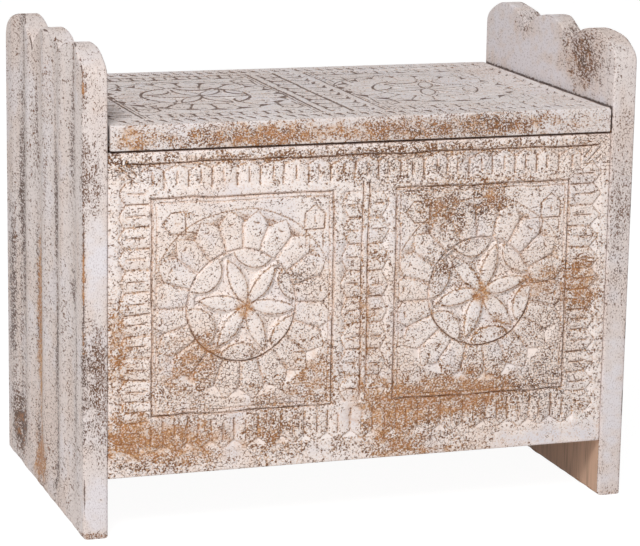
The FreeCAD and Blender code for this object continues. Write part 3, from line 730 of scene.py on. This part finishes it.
FRONT_GRIME = on_front(
    (-165, 185, 110, 50, 0.4), (-116, 112, 40, 34, 0.5), (-270, 84, 70, 12, 0.5), (-85, 305, 28, 24, 0.6),
    (150, 160, 120, 46, 0.5), (104, 312, 30, 26, 0.6), (120, 385, 90, 34, 0.7), (205, 352, 26, 40, -0.25),
    (130, 436, 170, 20, 0.3), (246, 145, 34, 52, 0.35), (270, 250, 50, 90, 0.4), (-300, 450, 30, 20, 0.7),
    (10, 432, 60, 26, 0.45), (0, 456, 330, 8, 0.5), (60, 100, 100, 28, 0.4), (-160, 120, 15, 48, -0.6),
    (-12, 130, 26, 22, -0.7), (240, 84, 80, 14, -0.7), (-165, 416, 30, 12, -0.4), (-280, 400, 36, 60, 0.15),
)
LID_BARE = (
    (-288, -209, 482, 16, 12, 16, 0.8), (-142, -209, 479, 46, 12, 15, 0.5),
    (158, -209, 484, 42, 12, 14, 0.2), (0, -209, 480, 330, 10, 16, 0.85), (160, 60, 498, 40, 60, 6, 0.3),
    (270, 150, 498, 40, 50, 6, 0.25),
)
LID_GRIME = (
    (0, -209, 480, 330, 10, 16, 0.2), (158, -209, 484, 44, 12, 16, 0.9), (60, -209, 478, 70, 12, 14, 0.6),
    (-142, -209, 480, 60, 12, 16, 0.5), (-230, -209, 478, 50, 12, 14, 0.4),
    (-60, -209, 484, 30, 12, 14, -0.3), (0, 20, 499, 400, 200, 4, -0.27),
)
END_BARE = (
    (-350, 140, 50, 12, 34, 34, 1.3), (-348, 27, 38, 12, 30, 30, 2.4), (-335, -209, 215, 22, 16, 42, 0.5),
    (-346, 38, 240, 10, 17, 80, 1.9), (-346, 36, 150, 10, 17, 60, 1.2), (-350, -20, 515, 10, 40, 40, 0.4),
    (-350, 132, 400, 10, 14, 70, 0.4), (-350, -207, 545, 3, 4, 16, 1.2), (-350, -207, 322, 3, 4, 36, 1.2),
    (-350, -207, 240, 3, 4, 20, 0.8), (-335, -209, 2, 18, 20, 6, 0.8), (335, -209, 4, 18, 14, 6, 0.5),
    (320, -114, 544, 10, 52, 40, 0.8),
)
END_GRIME = (
    (-335, -209, 215, 22, 16, 42, 0.8), (-335, -209, 130, 22, 16, 50, 0.5),
    (-335, -209, 440, 22, 16, 40, 0.45), (-335, -209, 42, 22, 16, 42, -1.0),
    (-335, -209, 2, 18, 20, 6, 0.9), (-350, 140, 50, 12, 34, 34, 2.2), (-348, 27, 38, 12, 30, 30, 0.8),
    (-350, -60, 40, 10, 24, 26, 1.5), (-350, 132, 380, 10, 17, 150, 1.6), (-350, 126, 250, 10, 14, 90, 1.3),
    (-350, 179, 220, 10, 17, 110, 1.7), (-350, 145, 350, 10, 12, 30, 1.4),
    (-350, -56, 370, 10, 13, 60, 1.6), (-350, -58, 220, 10, 15, 70, 1.3), (-350, -60, 90, 10, 15, 50, 1.3),
    (-350, -134, 465, 10, 13, 60, 1.6), (-350, -140, 295, 10, 16, 34, 1.4),
    (-350, -165, 225, 10, 14, 30, 1.4), (-350, -155, 150, 10, 18, 50, 1.2),
    (-346, 38, 200, 10, 17, 90, -0.4), (-350, -207, 300, 4, 5, 280, 0.9), (320, -114, 545, 10, 48, 40, 1.5),
    (332, 85, 566, 20, 24, 20, 1.1), (332, -54, 566, 20, 24, 20, 1.1), (320, 60, 560, 10, 40, 18, 0.8),
    (320, 0, 530, 10, 60, 10, 0.6), (320, 40, 540, 14, 170, 60, -0.9), (320, -120, 505, 12, 70, 16, -0.5),
    (335, -209, 330, 18, 16, 90, 0.5), (335, -209, 120, 18, 16, 90, -0.7),
    (-335, -209, 335, 22, 16, 50, -0.7),
)

MOST_WORN = 1.35
RAW = 2.6  # wear at which none of the wash is left


def rubbed(points, places):
    """How worn each point is: the sum of the places' bell curves there, each with a ragged outline."""
    x, y, z = points.T
    stray_by = [waves(x + y, z, seed, 30) for seed in (51, 52, 53)]
    ragged = 0.8 + 0.35 * waves(x + y, z, 54, 14)
    worn = np.zeros(len(points))
    for *place, strength in places:
        reach = (points - place[:3]) / place[3:] + 0.22 * join(*stray_by)
        worn += strength * np.exp(-(reach**2).sum(axis=1))
    return np.clip(worn * ragged, -1, MOST_WORN)


def front_wear(points):
    """The front is raw wood inside the chest."""
    inside = RAW * ramp(points[:, 1], -200, -192)
    return np.maximum(rubbed(points, FRONT_BARE), inside), rubbed(points, FRONT_GRIME)


def back_wear(points):
    """The back is raw wood inside the chest and grimy near the floor."""
    inside = RAW * ramp(-points[:, 1], -182, -174)
    x, z = points[:, 0], points[:, 2]
    patches = 0.3 * ramp(waves(x, z, 41, 160), 0.2, 1.2)
    return np.maximum(patches, inside), 0.5 * ramp(-z, -140, -80)


def lid_wear(points):
    """The lid is raw wood underneath, inside its rim."""
    x, y, z = points.T
    inside = RAW * ramp(-z, -474, -469) * span(x, -316, 316, 3) * span(y, -208, 208, 3)
    return np.maximum(rubbed(points, LID_BARE), inside), rubbed(points, LID_GRIME)


def end_wear(points):
    """The ends are raw wood inside the chest, and their flutes hold streaks of dirt."""
    x, y, z = points.T
    inner = ramp(-np.abs(x), -326, -321)
    inner = inner * ramp(-z, -474, -466) * span(y, -206, 206, 3) * ramp(z, 1, 4)
    bare = np.maximum(rubbed(points, END_BARE), RAW * inner)
    outer = 1 - ramp(-np.abs(x), -342, -336)
    streak = ramp(waves(y * 6, z, 43, 200), -0.1, 1.0)
    flutes = ramp(flute_depth(y, z), 4.4, 6) * outer * streak
    return np.maximum(bare, 0.2 * flutes), np.minimum(rubbed(points, END_GRIME) + 0.7 * flutes, MOST_WORN)


# Finishes


class Shade:
    """A socket of a material's nodes that works in formulas: each operator adds its Math node."""

    def __init__(self, tree, socket=None):
        self.tree, self.socket = tree, socket

    def add(self, kind, settings=None, sockets=None, output=0):
        """Adds a node of that kind, sets its settings and then its sockets, and gives one of its outputs."""
        node = self.tree.nodes.new(kind)
        for name, value in (settings or {}).items():
            setattr(node, name, value)
        for key, value in (sockets or {}).items():
            if isinstance(value, Shade):
                self.tree.links.new(value.socket, node.inputs[key])
            else:
                node.inputs[key].default_value = value
        return Shade(self.tree, node.outputs[output])

    def math(self, operation, first, second):
        return self.add("ShaderNodeMath", {"operation": operation}, {0: first, 1: second})

    def __add__(self, other):
        return self.math("ADD", self, other)

    def __radd__(self, other):
        return self.math("ADD", other, self)

    def __sub__(self, other):
        return self.math("SUBTRACT", self, other)

    def __rsub__(self, other):
        return self.math("SUBTRACT", other, self)

    def __mul__(self, other):
        return self.math("MULTIPLY", self, other)

    def __rmul__(self, other):
        return self.math("MULTIPLY", other, self)

    def over(self, low, high):
        """Rises smoothly from 0 where the value is low to 1 where it is high."""
        sockets = {"Value": self, "From Min": low, "From Max": high}
        return self.add("ShaderNodeMapRange", {"interpolation_type": "SMOOTHSTEP"}, sockets)

    def noise(self, scale, detail=2.0, roughness=0.5, distortion=0.0):
        """Soft noise on these coordinates, about 0.5 on the whole."""
        sockets = {"Vector": self, "Scale": scale, "Detail": detail}
        sockets |= {"Roughness": roughness, "Distortion": distortion}
        return self.add("ShaderNodeTexNoise", {}, sockets)

    def cells(self, scale):
        """Distance to the nearest border between scattered cells on these coordinates."""
        sockets = {"Vector": self, "Scale": scale}
        return self.add("ShaderNodeTexVoronoi", {"feature": "DISTANCE_TO_EDGE"}, sockets)

    def flakes(self, scale):
        """A random value from 0 to 1 on each of the scattered cells on these coordinates."""
        return self.add("ShaderNodeTexVoronoi", {}, {"Vector": self, "Scale": scale}, "Color")

    def stretched(self, *factors):
        """These coordinates, each multiplied by its own factor."""
        return self.add("ShaderNodeVectorMath", {"operation": "MULTIPLY"}, {0: self, 1: factors})

    def mark(self, name):
        """A value that the piece's points carry."""
        return self.add("ShaderNodeAttribute", {"attribute_name": name}, {}, "Fac")

    def mix(self, first, second):
        """The first colour where this value is 0, the second where it is 1."""
        return self.add("ShaderNodeMix", {"data_type": "RGBA"}, {0: self, 6: first, 7: second}, 2)


def empty_nodes(owner):
    """The start of the nodes of a material or world, with none there yet."""
    owner.use_nodes = True
    owner.node_tree.nodes.clear()
    return Shade(owner.node_tree)


def new_material(name):
    """An empty material, and the Object coordinates in it."""
    material = bpy.data.materials.new(name)
    return material, empty_nodes(material).add("ShaderNodeTexCoord", {}, {}, "Object")


def finish_material(material, at, colour, roughness, height, depth, metallic=0.0):
    """Joins colour, roughness and a bump of that depth to the surface."""
    bump = at.add("ShaderNodeBump", {}, {"Strength": 1.0, "Distance": depth, "Height": height})
    sockets = {"Base Color": colour, "Roughness": roughness, "Metallic": metallic, "Normal": bump}
    surface = at.add("ShaderNodeBsdfPrincipled", {}, sockets)
    at.add("ShaderNodeOutputMaterial", {}, {"Surface": surface}, slice(0, 0))
    return material


# Factors that stretch a pattern along the grain
ALONG = {"x": (0.08, 1, 1), "y": (1, 0.08, 1), "z": (1, 1, 0.08)}


def washed_wood(name, finish, wash, second, grain, spread, streak, cover, smudge, groove_wood, lines):
    """Crackled wash over brown wood.

    The wash lies in small flakes. A flake is lost where its random value and fine noise pass what is left
    there, which is less where the points are bare or grimy and in patches. There the wash is also smeared and
    holds pale dots. The wood under it is brown, dark where it is grimy and orange where it is bare. Grooves
    hold dirt, and the line mark also carries painted shade where the cuts put it; both start and fill at the
    two values of lines. Where a cut's facet is kept cleaner, more wash is left and less of it smeared; on
    chip facets that face the light this is painted highlight. Spread stretches the flakes and streak the
    patches, as a brush does.
    """
    material, at = new_material(name)
    bare, grime, line, clean = (at.mark(mark) for mark in ("bare", "grime", "line", "clean"))
    drawn = at.stretched(*spread)
    broad = at.noise(7, 3, 0.6)
    patch = at.stretched(*streak).noise(38, 3, 0.6)
    cluster = drawn.noise(130, 2, 0.6)
    fine = drawn.noise(500, 2, 0.65)
    mottle = drawn.noise(480, 2, 0.6)
    flake = drawn.flakes(430)
    crack = drawn.cells(250).over(0.1, 0.02)
    grain_noise = at.stretched(*ALONG[grain]).noise(150, 4, 0.6, 0.6)
    raw = bare.over(1.4, 2.0)
    left = cover + (broad - 0.5) * 0.5 + (patch - 0.5) * 1.1 + (cluster - 0.5) * 0.5
    left = left - bare * 0.38 - grime * 0.4 + grime.over(0.0, -1.0) * 0.6 + clean * 0.35
    lost = 0.2 + flake * 0.5 + (fine - 0.5) * 1.9 + crack * (0.08 + (broad + patch).over(0.95, 1.15) * 0.4)
    whole = (left - lost - raw).over(-0.04, 0.04)
    worn = 1 - left
    black = grime + (patch - 0.5) * 0.8 + (fine - 0.5) * 1.2
    wood = black.over(0.1, 1.0).mix(finish.crack_wood, finish.dark_wood)
    orange = bare - grime * 0.4 + (cluster - 0.5) * 0.9 + (fine - 0.5) * 1.6
    wood = orange.over(0.1, 0.9).mix(wood, finish.worn_wood)
    wood = (flake.over(0.45, 0.95) * 0.4).mix(wood, finish.dark_wood)
    wood = raw.mix(wood, finish.inner_wood)
    wood = (grain_noise.over(0.4, 0.75) * (0.3 + raw * 0.18)).mix(wood, finish.inner_grain)
    washed = (broad + (patch - 0.5) * 0.6).over(0.36, 0.64).mix(wash, second)
    cool = at.noise(19, 2).over(0.5, 0.66) * 0.5 + grime.over(0.0, -0.6) * 0.9
    washed = cool.mix(washed, finish.cool_wash)
    # Near the lines the wash is smudged darker as painted shade round the grooves; elsewhere the smudging is
    # wear and grime.
    smudged_and_shaded = worn.over(0.2, 0.7) * 0.45 + mottle.over(0.5, 0.36) * 0.4 + line.over(0.2, 0.8) * 0.3
    smudged_and_shaded = smudged_and_shaded + grime.over(0.5, 1.4) * 0.7 + bare * 0.15 - clean * 0.5
    washed = smudged_and_shaded.over(0.0, 1.0).mix(washed, smudge)
    thin = bare + (cluster - 0.5) * 0.8 + (mottle - 0.5)
    washed = (thin.over(0.2, 1.1) * 0.9).mix(washed, finish.worn_wash)
    colour = whole.mix(wood, washed)
    dots = mottle.over(0.535, 0.57) * worn.over(0.1, 0.5) * worn.over(1.2, 0.9)
    dots = dots * (1 - bare.over(0.2, 1.2) * 0.5 - raw)
    colour = dots.mix(colour, wash)
    dirt = (line.over(*lines) * (0.4 + patch) + (fine - 0.5) * 1.5).over(0.3, 0.85)
    colour = (dirt * 0.85).mix(colour, bare.over(0.2, 0.7).mix(groove_wood, finish.worn_wood))
    rough = 0.62 + whole * 0.22
    return finish_material(material, at, colour, rough, whole * 0.7 + fine * 0.5, 0.5 * MM)


def bare_wood(name, finish, grain):
    """Unpainted wood: long streaks of dark grain with fine pores along it."""
    material, at = new_material(name)
    along = at.stretched(*ALONG[grain])
    streak = along.noise(70, 5, 0.6, 1.4).over(0.32, 0.72)
    pore = along.noise(520, 2, 0.6).over(0.55, 0.75)
    stain = at.noise(8, 3).over(0.3, 0.8)
    dark = tuple(0.55 * value for value in finish.inner_grain[:3]) + (1.0,)
    colour = streak.mix(finish.inner_wood, finish.inner_grain)
    colour = (stain * 0.35).mix(colour, finish.inner_grain)
    colour = (pore * 0.5).mix(colour, dark)
    return finish_material(material, at, colour, 0.58 + streak * 0.2, 1 - pore * 0.6 - streak * 0.3, 0.3 * MM)


def old_metal(name, metal, tarnish):
    """Old metal: bright where handled, dull brown in spots."""
    material, at = new_material(name)
    spot = at.noise(160, 4, 0.6).over(0.45, 0.68)
    scuff = at.stretched(1, 0.2, 1).noise(900, 2).over(0.4, 0.7)
    colour = spot.mix(metal, tarnish)
    return finish_material(material, at, colour, 0.34 + spot * 0.3 + scuff * 0.08, scuff * 0.5, 0.1 * MM, 0.9)


# Operators


class TrunkOperator:
    """What the operators share: the settings, and an undo step."""

    bl_options = {"REGISTER", "UNDO"}

    def settings(self, context):
        """The carving's sizes, with the lengths in millimetres, and the finish."""
        carving = context.scene.trunk_carving
        sizes = {name: getattr(carving, name) for name in TrunkCarving.__annotations__}
        for name in sizes:
            if carving.bl_rna.properties[name].unit == "LENGTH":
                sizes[name] /= MM
        return SimpleNamespace(**sizes), context.scene.trunk_finish


FIELD_THICKNESS = 8
FIELD_GAP = 0.1  # between a field and the board round it


def carved_pieces(name, cut, low, high, thickness, middle, half, sizes, dress, sockets=()):
    """A carved board and the two fields that sit in it."""
    sides = [side * middle[0] + way * half[0] for side in (-1, 1) for way in (-1, 1)]
    bottom, top = middle[1] - half[1], middle[1] + half[1]
    boxes = [(*sides[:2], bottom, top), (*sides[2:], bottom, top)]
    us = board_lines(low[0], high[0], sides, sizes.board_step, sizes.edge)
    vs = board_lines(low[1], high[1], (bottom, top), sizes.board_step, sizes.edge)
    shell = carved_board(us, vs, cut, thickness, sizes.edge, boxes, FIELD_THICKNESS + FIELD_GAP, sockets)
    make_piece(name, shell, *dress)
    vs = board_lines(bottom + FIELD_GAP, top - FIELD_GAP, (), sizes.field_step, 0.0)
    for (left, right, *_), side in zip(boxes, ("left", "right")):
        us = board_lines(left + FIELD_GAP, right - FIELD_GAP, (), sizes.field_step, 0.0)
        make_piece(f"{name}_{side}_field", carved_board(us, vs, cut, FIELD_THICKNESS, 0.0), *dress)


class TRUNK_OT_front(TrunkOperator, bpy.types.Operator):
    """Carve the front panel and its two fields"""

    bl_idname = "trunk.front"
    bl_label = "Front"

    def execute(self, context):
        sizes, finish = self.settings(context)
        low, high = node_box("front_panel")
        material = washed_wood(
            "washed front", finish, finish.front_wash, finish.front_tint, "x", (0.9, 1, 1), (1, 1, 1),
            finish.cover, finish.stain, finish.crack_wood, (0.58, 1.0),
        )

        def place(points):
            return join(points[:, 0], low[1] - points[:, 2], points[:, 1])

        dress = (place, front_wear, material, "carcass", "front_panel")
        carved_pieces(
            "carved_front", front_carving(sizes), low[::2], high[::2], high[1] - low[1],
            FRONT_MIDDLE, FRONT_FIELD, sizes, dress,
        )
        return {"FINISHED"}


SOCKET_RADIUS = 4  # of the troughs under the lid that the hinges' knuckles turn in
SOCKET_GAP = 1  # past each end of a pin


class TRUNK_OT_lid(TrunkOperator, bpy.types.Operator):
    """Carve the lid and its two fields"""

    bl_idname = "trunk.lid"
    bl_label = "Lid"

    def execute(self, context):
        sizes, finish = self.settings(context)
        low, high = node_box("lid_board")
        # The lid's lines start low and take dark wood: dirt and painted shade in its cuts.
        material = washed_wood(
            "washed lid", finish, finish.lid_wash_and_shade, finish.lid_tint_and_shade, "x", (0.9, 0.35, 1), (1, 0.6, 1),
            finish.lid_cover, finish.stain, finish.dark_wood, (0.3, 0.75),
        )
        sockets = []
        for pin in ("left_hinge_pin", "right_hinge_pin"):
            pin_low, pin_high = node_box(pin)
            _, y, z = (pin_low + pin_high) / 2
            sockets.append((pin_low[0] - SOCKET_GAP, pin_high[0] + SOCKET_GAP, y, SOCKET_RADIUS, low[2] - z))

        def place(points):
            return join(points[:, 0], points[:, 1], high[2] + points[:, 2])

        dress = (place, lid_wear, material, "lid", "lid_board")
        carved_pieces(
            "carved_lid", lid_carving(sizes), low[:2], high[:2], high[2] - low[2],
            LID_MIDDLE, LID_FIELD, sizes, dress, sockets,
        )
        return {"FINISHED"}


class TRUNK_OT_back(TrunkOperator, bpy.types.Operator):
    """Make the plain boarded back"""

    bl_idname = "trunk.back"
    bl_label = "Back"

    def execute(self, context):
        sizes, finish = self.settings(context)
        low, high = node_box("back_panel")
        material = washed_wood(
            "washed back", finish, finish.end_wash, finish.end_tint, "x", (0.6, 1, 1), (0.15, 1, 1.6),
            finish.end_cover, finish.end_stain, finish.dark_wood, (0.3, 0.9),
        )
        us = board_lines(low[0], high[0], (), BACK_STEPS[0], sizes.edge)
        vs = board_lines(low[2], high[2], BACK_JOINTS, BACK_STEPS[1], sizes.edge)

        def place(points):
            return join(-points[:, 0], high[1] + points[:, 2], points[:, 1])

        shell = carved_board(us, vs, plain_carving, high[1] - low[1], sizes.edge)
        make_piece("boarded_back", shell, place, back_wear, material, "carcass", "back_panel")
        return {"FINISHED"}


class TRUNK_OT_ends(TrunkOperator, bpy.types.Operator):
    """Make the two lobed and fluted end boards"""

    bl_idname = "trunk.ends"
    bl_label = "Ends"

    def execute(self, context):
        sizes, finish = self.settings(context)
        material = washed_wood(
            "washed ends", finish, finish.end_wash, finish.end_tint, "z", (1.4, 0.38, 0.85), (1, 1.6, 0.15),
            finish.end_cover, finish.end_stain, finish.dark_wood, (0.35, 0.9),
        )
        for side, name in ((-1, "left"), (1, "right")):
            low, high = node_box(f"{name}_end")
            outer = low[0] if side < 0 else high[0]

            def place(points, side=side, outer=outer):
                return join(outer - side * points[:, 0], points[:, 1], points[:, 2])

            shell = lobed_end(side, sizes.edge)
            make_piece(f"lobed_{name}_end", shell, place, end_wear, material, "carcass", f"{name}_end")
        return {"FINISHED"}


def dress_node(node, material):
    """Gives a CAD node its finish."""
    node.data.materials.clear()
    node.data.materials.append(material)


class TRUNK_OT_inside(TrunkOperator, bpy.types.Operator):
    """Finish the unpainted pieces inside: posts, ledges, cleats, bottom planks and battens"""

    bl_idname = "trunk.inside"
    bl_label = "Inside"

    def execute(self, context):
        finish = self.settings(context)[1]
        grains = {"x": ("cleat",), "y": ("plank", "ledge", "batten"), "z": ("post",)}
        for grain, kinds in grains.items():
            material = bare_wood(f"bare wood along {grain}", finish, grain)
            for name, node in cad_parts.items():
                if any(kind in name for kind in kinds) and not name.endswith("screws"):
                    dress_node(node, material)
        return {"FINISHED"}


BRASS_TARNISH = paint(92, 70, 44)
STEEL_RUST = paint(86, 66, 52)


class TRUNK_OT_fittings(TrunkOperator, bpy.types.Operator):
    """Finish the hinges and screws"""

    bl_idname = "trunk.fittings"
    bl_label = "Fittings"

    def execute(self, context):
        finish = self.settings(context)[1]
        brass = old_metal("old brass", finish.brass, BRASS_TARNISH)
        steel = old_metal("old steel", finish.steel, STEEL_RUST)
        for name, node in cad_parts.items():
            if "hinge" in name or name.endswith("screws"):
                dress_node(node, brass if "hinge" in name else steel)
        return {"FINISHED"}


# Stage, in metres

CAMERA_PLACE = (-1.07737, -3.19257, 1.00353)
CAMERA_YAW, CAMERA_PITCH, CAMERA_ROLL = (math.radians(turn) for turn in (18.863, 12.403, 0.96))
CAMERA_SENSOR, CAMERA_LENS = 36, 151.12  # in mm
CAMERA_REACH = 100  # how far it sees
LAMPS = (("key", (-1.7, -2.8, 3.3), 1.3), ("fill", (-2.6, -2.6, 0.7), 2.0))  # names, places and sizes
LAMP_TARGET = (0, 0, 0.3)
FLOOR_REACH = 15.0  # from its middle to its sides
FLOOR_SINK = 0.0005  # below the trunk's feet
FLOOR_GLOW = 1.16
FLOOR_PALE = 0.82  # how much of the floor that is seen is its glow


def look(ahead):
    """The turn that points an object's -Z axis ahead, with its Y axis as near upright as can be."""
    ahead = np.array(ahead) / np.linalg.norm(ahead)
    right = np.cross(ahead, (0, 0, 1))
    right /= np.linalg.norm(right)
    return Matrix(np.stack([right, np.cross(right, ahead), -ahead], axis=1).tolist())


def lamp(name, place, size, watts):
    """A square lamp at a place, facing the trunk."""
    light = bpy.data.lights.new(name, "AREA")
    light.size, light.energy = size, watts
    item = new_object(name, light)
    item.location = place
    item.rotation_euler = look(np.array(LAMP_TARGET) - np.array(place)).to_euler()


class TRUNK_OT_stage(TrunkOperator, bpy.types.Operator):
    """Set up the floor, the light and the camera"""

    bl_idname = "trunk.stage"
    bl_label = "Stage"

    def execute(self, context):
        scene, stage = context.scene, context.scene.trunk_stage
        scene.view_settings.view_transform = "Standard"
        flat = math.cos(CAMERA_PITCH)
        turn = look((math.sin(CAMERA_YAW) * flat, math.cos(CAMERA_YAW) * flat, -math.sin(CAMERA_PITCH)))
        turn = turn @ Matrix.Rotation(CAMERA_ROLL, 3, "Z")
        camera = new_object("camera", bpy.data.cameras.new("camera"))
        camera.data.sensor_fit, camera.data.sensor_width = "HORIZONTAL", CAMERA_SENSOR
        camera.data.lens, camera.data.clip_end = CAMERA_LENS, CAMERA_REACH
        camera.matrix_world = Matrix.Translation(CAMERA_PLACE) @ turn.to_4x4()
        scene.camera = camera
        for name, place, size in LAMPS:
            lamp(name, place, size, getattr(stage, name))

        world = bpy.data.worlds.new("studio")
        start = empty_nodes(world)
        sky = start.add("ShaderNodeBackground", {}, {"Color": WHITE, "Strength": stage.sky})
        white = start.add("ShaderNodeBackground", {}, {"Color": WHITE, "Strength": 1.0})
        both = start.add("ShaderNodeMixShader", {}, {0: self.seen(start), 1: sky, 2: white})
        start.add("ShaderNodeOutputWorld", {}, {"Surface": both}, slice(0, 0))
        scene.world = world

        mesh = bpy.data.meshes.new("floor")
        corners = np.array([(-1, -1, 0), (1, -1, 0), (1, 1, 0), (-1, 1, 0)]) * FLOOR_REACH
        mesh.from_pydata(corners.tolist(), [], [(0, 1, 2, 3)])
        floor = new_object("floor", mesh)
        floor.location.z = -FLOOR_SINK
        material = bpy.data.materials.new("floor")
        start = empty_nodes(material)
        paper = start.add("ShaderNodeBsdfDiffuse", {}, {"Color": stage.floor})
        glow = start.add("ShaderNodeEmission", {}, {"Color": WHITE, "Strength": FLOOR_GLOW})
        both = start.add("ShaderNodeMixShader", {}, {0: self.seen(start) * FLOOR_PALE, 1: paper, 2: glow})
        start.add("ShaderNodeOutputMaterial", {}, {"Surface": both}, slice(0, 0))
        mesh.materials.append(material)
        return {"FINISHED"}

    @staticmethod
    def seen(start):
        """1 for rays from the camera, reflections and glass, 0 for the light that falls on the trunk."""
        path = start.add("ShaderNodeLightPath", {}, {}, "Is Camera Ray")
        outputs = path.socket.node.outputs
        glossy = Shade(start.tree, outputs["Is Glossy Ray"])
        clear = Shade(start.tree, outputs["Is Transmission Ray"])
        return path.math("MAXIMUM", path, path.math("MAXIMUM", glossy, clear))


class TRUNK_PT_panel(bpy.types.Panel):
    """The trunk's settings and operators"""

    bl_label = "Carved Trunk"
    bl_idname = "TRUNK_PT_panel"
    bl_space_type = "VIEW_3D"
    bl_region_type = "UI"
    bl_category = "Trunk"

    def draw(self, context):
        for place, group in GROUPS.items():
            box = self.layout.box()
            for name in group.__annotations__:
                box.prop(getattr(context.scene, place), name)
        for operator in OPERATORS:
            self.layout.operator(operator.bl_idname)


GROUPS = {"trunk_carving": TrunkCarving, "trunk_finish": TrunkFinish, "trunk_stage": TrunkStage}
OPERATORS = (
    TRUNK_OT_stage, TRUNK_OT_ends, TRUNK_OT_front, TRUNK_OT_back, TRUNK_OT_lid, TRUNK_OT_inside,
    TRUNK_OT_fittings,
)
CLASSES = (*GROUPS.values(), *OPERATORS, TRUNK_PT_panel)


def register():
    for item in CLASSES:
        bpy.utils.register_class(item)
    for place, group in GROUPS.items():
        setattr(bpy.types.Scene, place, bpy.props.PointerProperty(type=group))


def unregister():
    for place in GROUPS:
        delattr(bpy.types.Scene, place)
    for item in reversed(CLASSES):
        bpy.utils.unregister_class(item)


def main():
    register()
    bpy.ops.trunk.stage()
    bpy.ops.trunk.ends()
    bpy.ops.trunk.front()
    bpy.ops.trunk.back()
    bpy.ops.trunk.lid()
    bpy.ops.trunk.inside()
    bpy.ops.trunk.fittings()


if __name__ == "__main__":
    main()
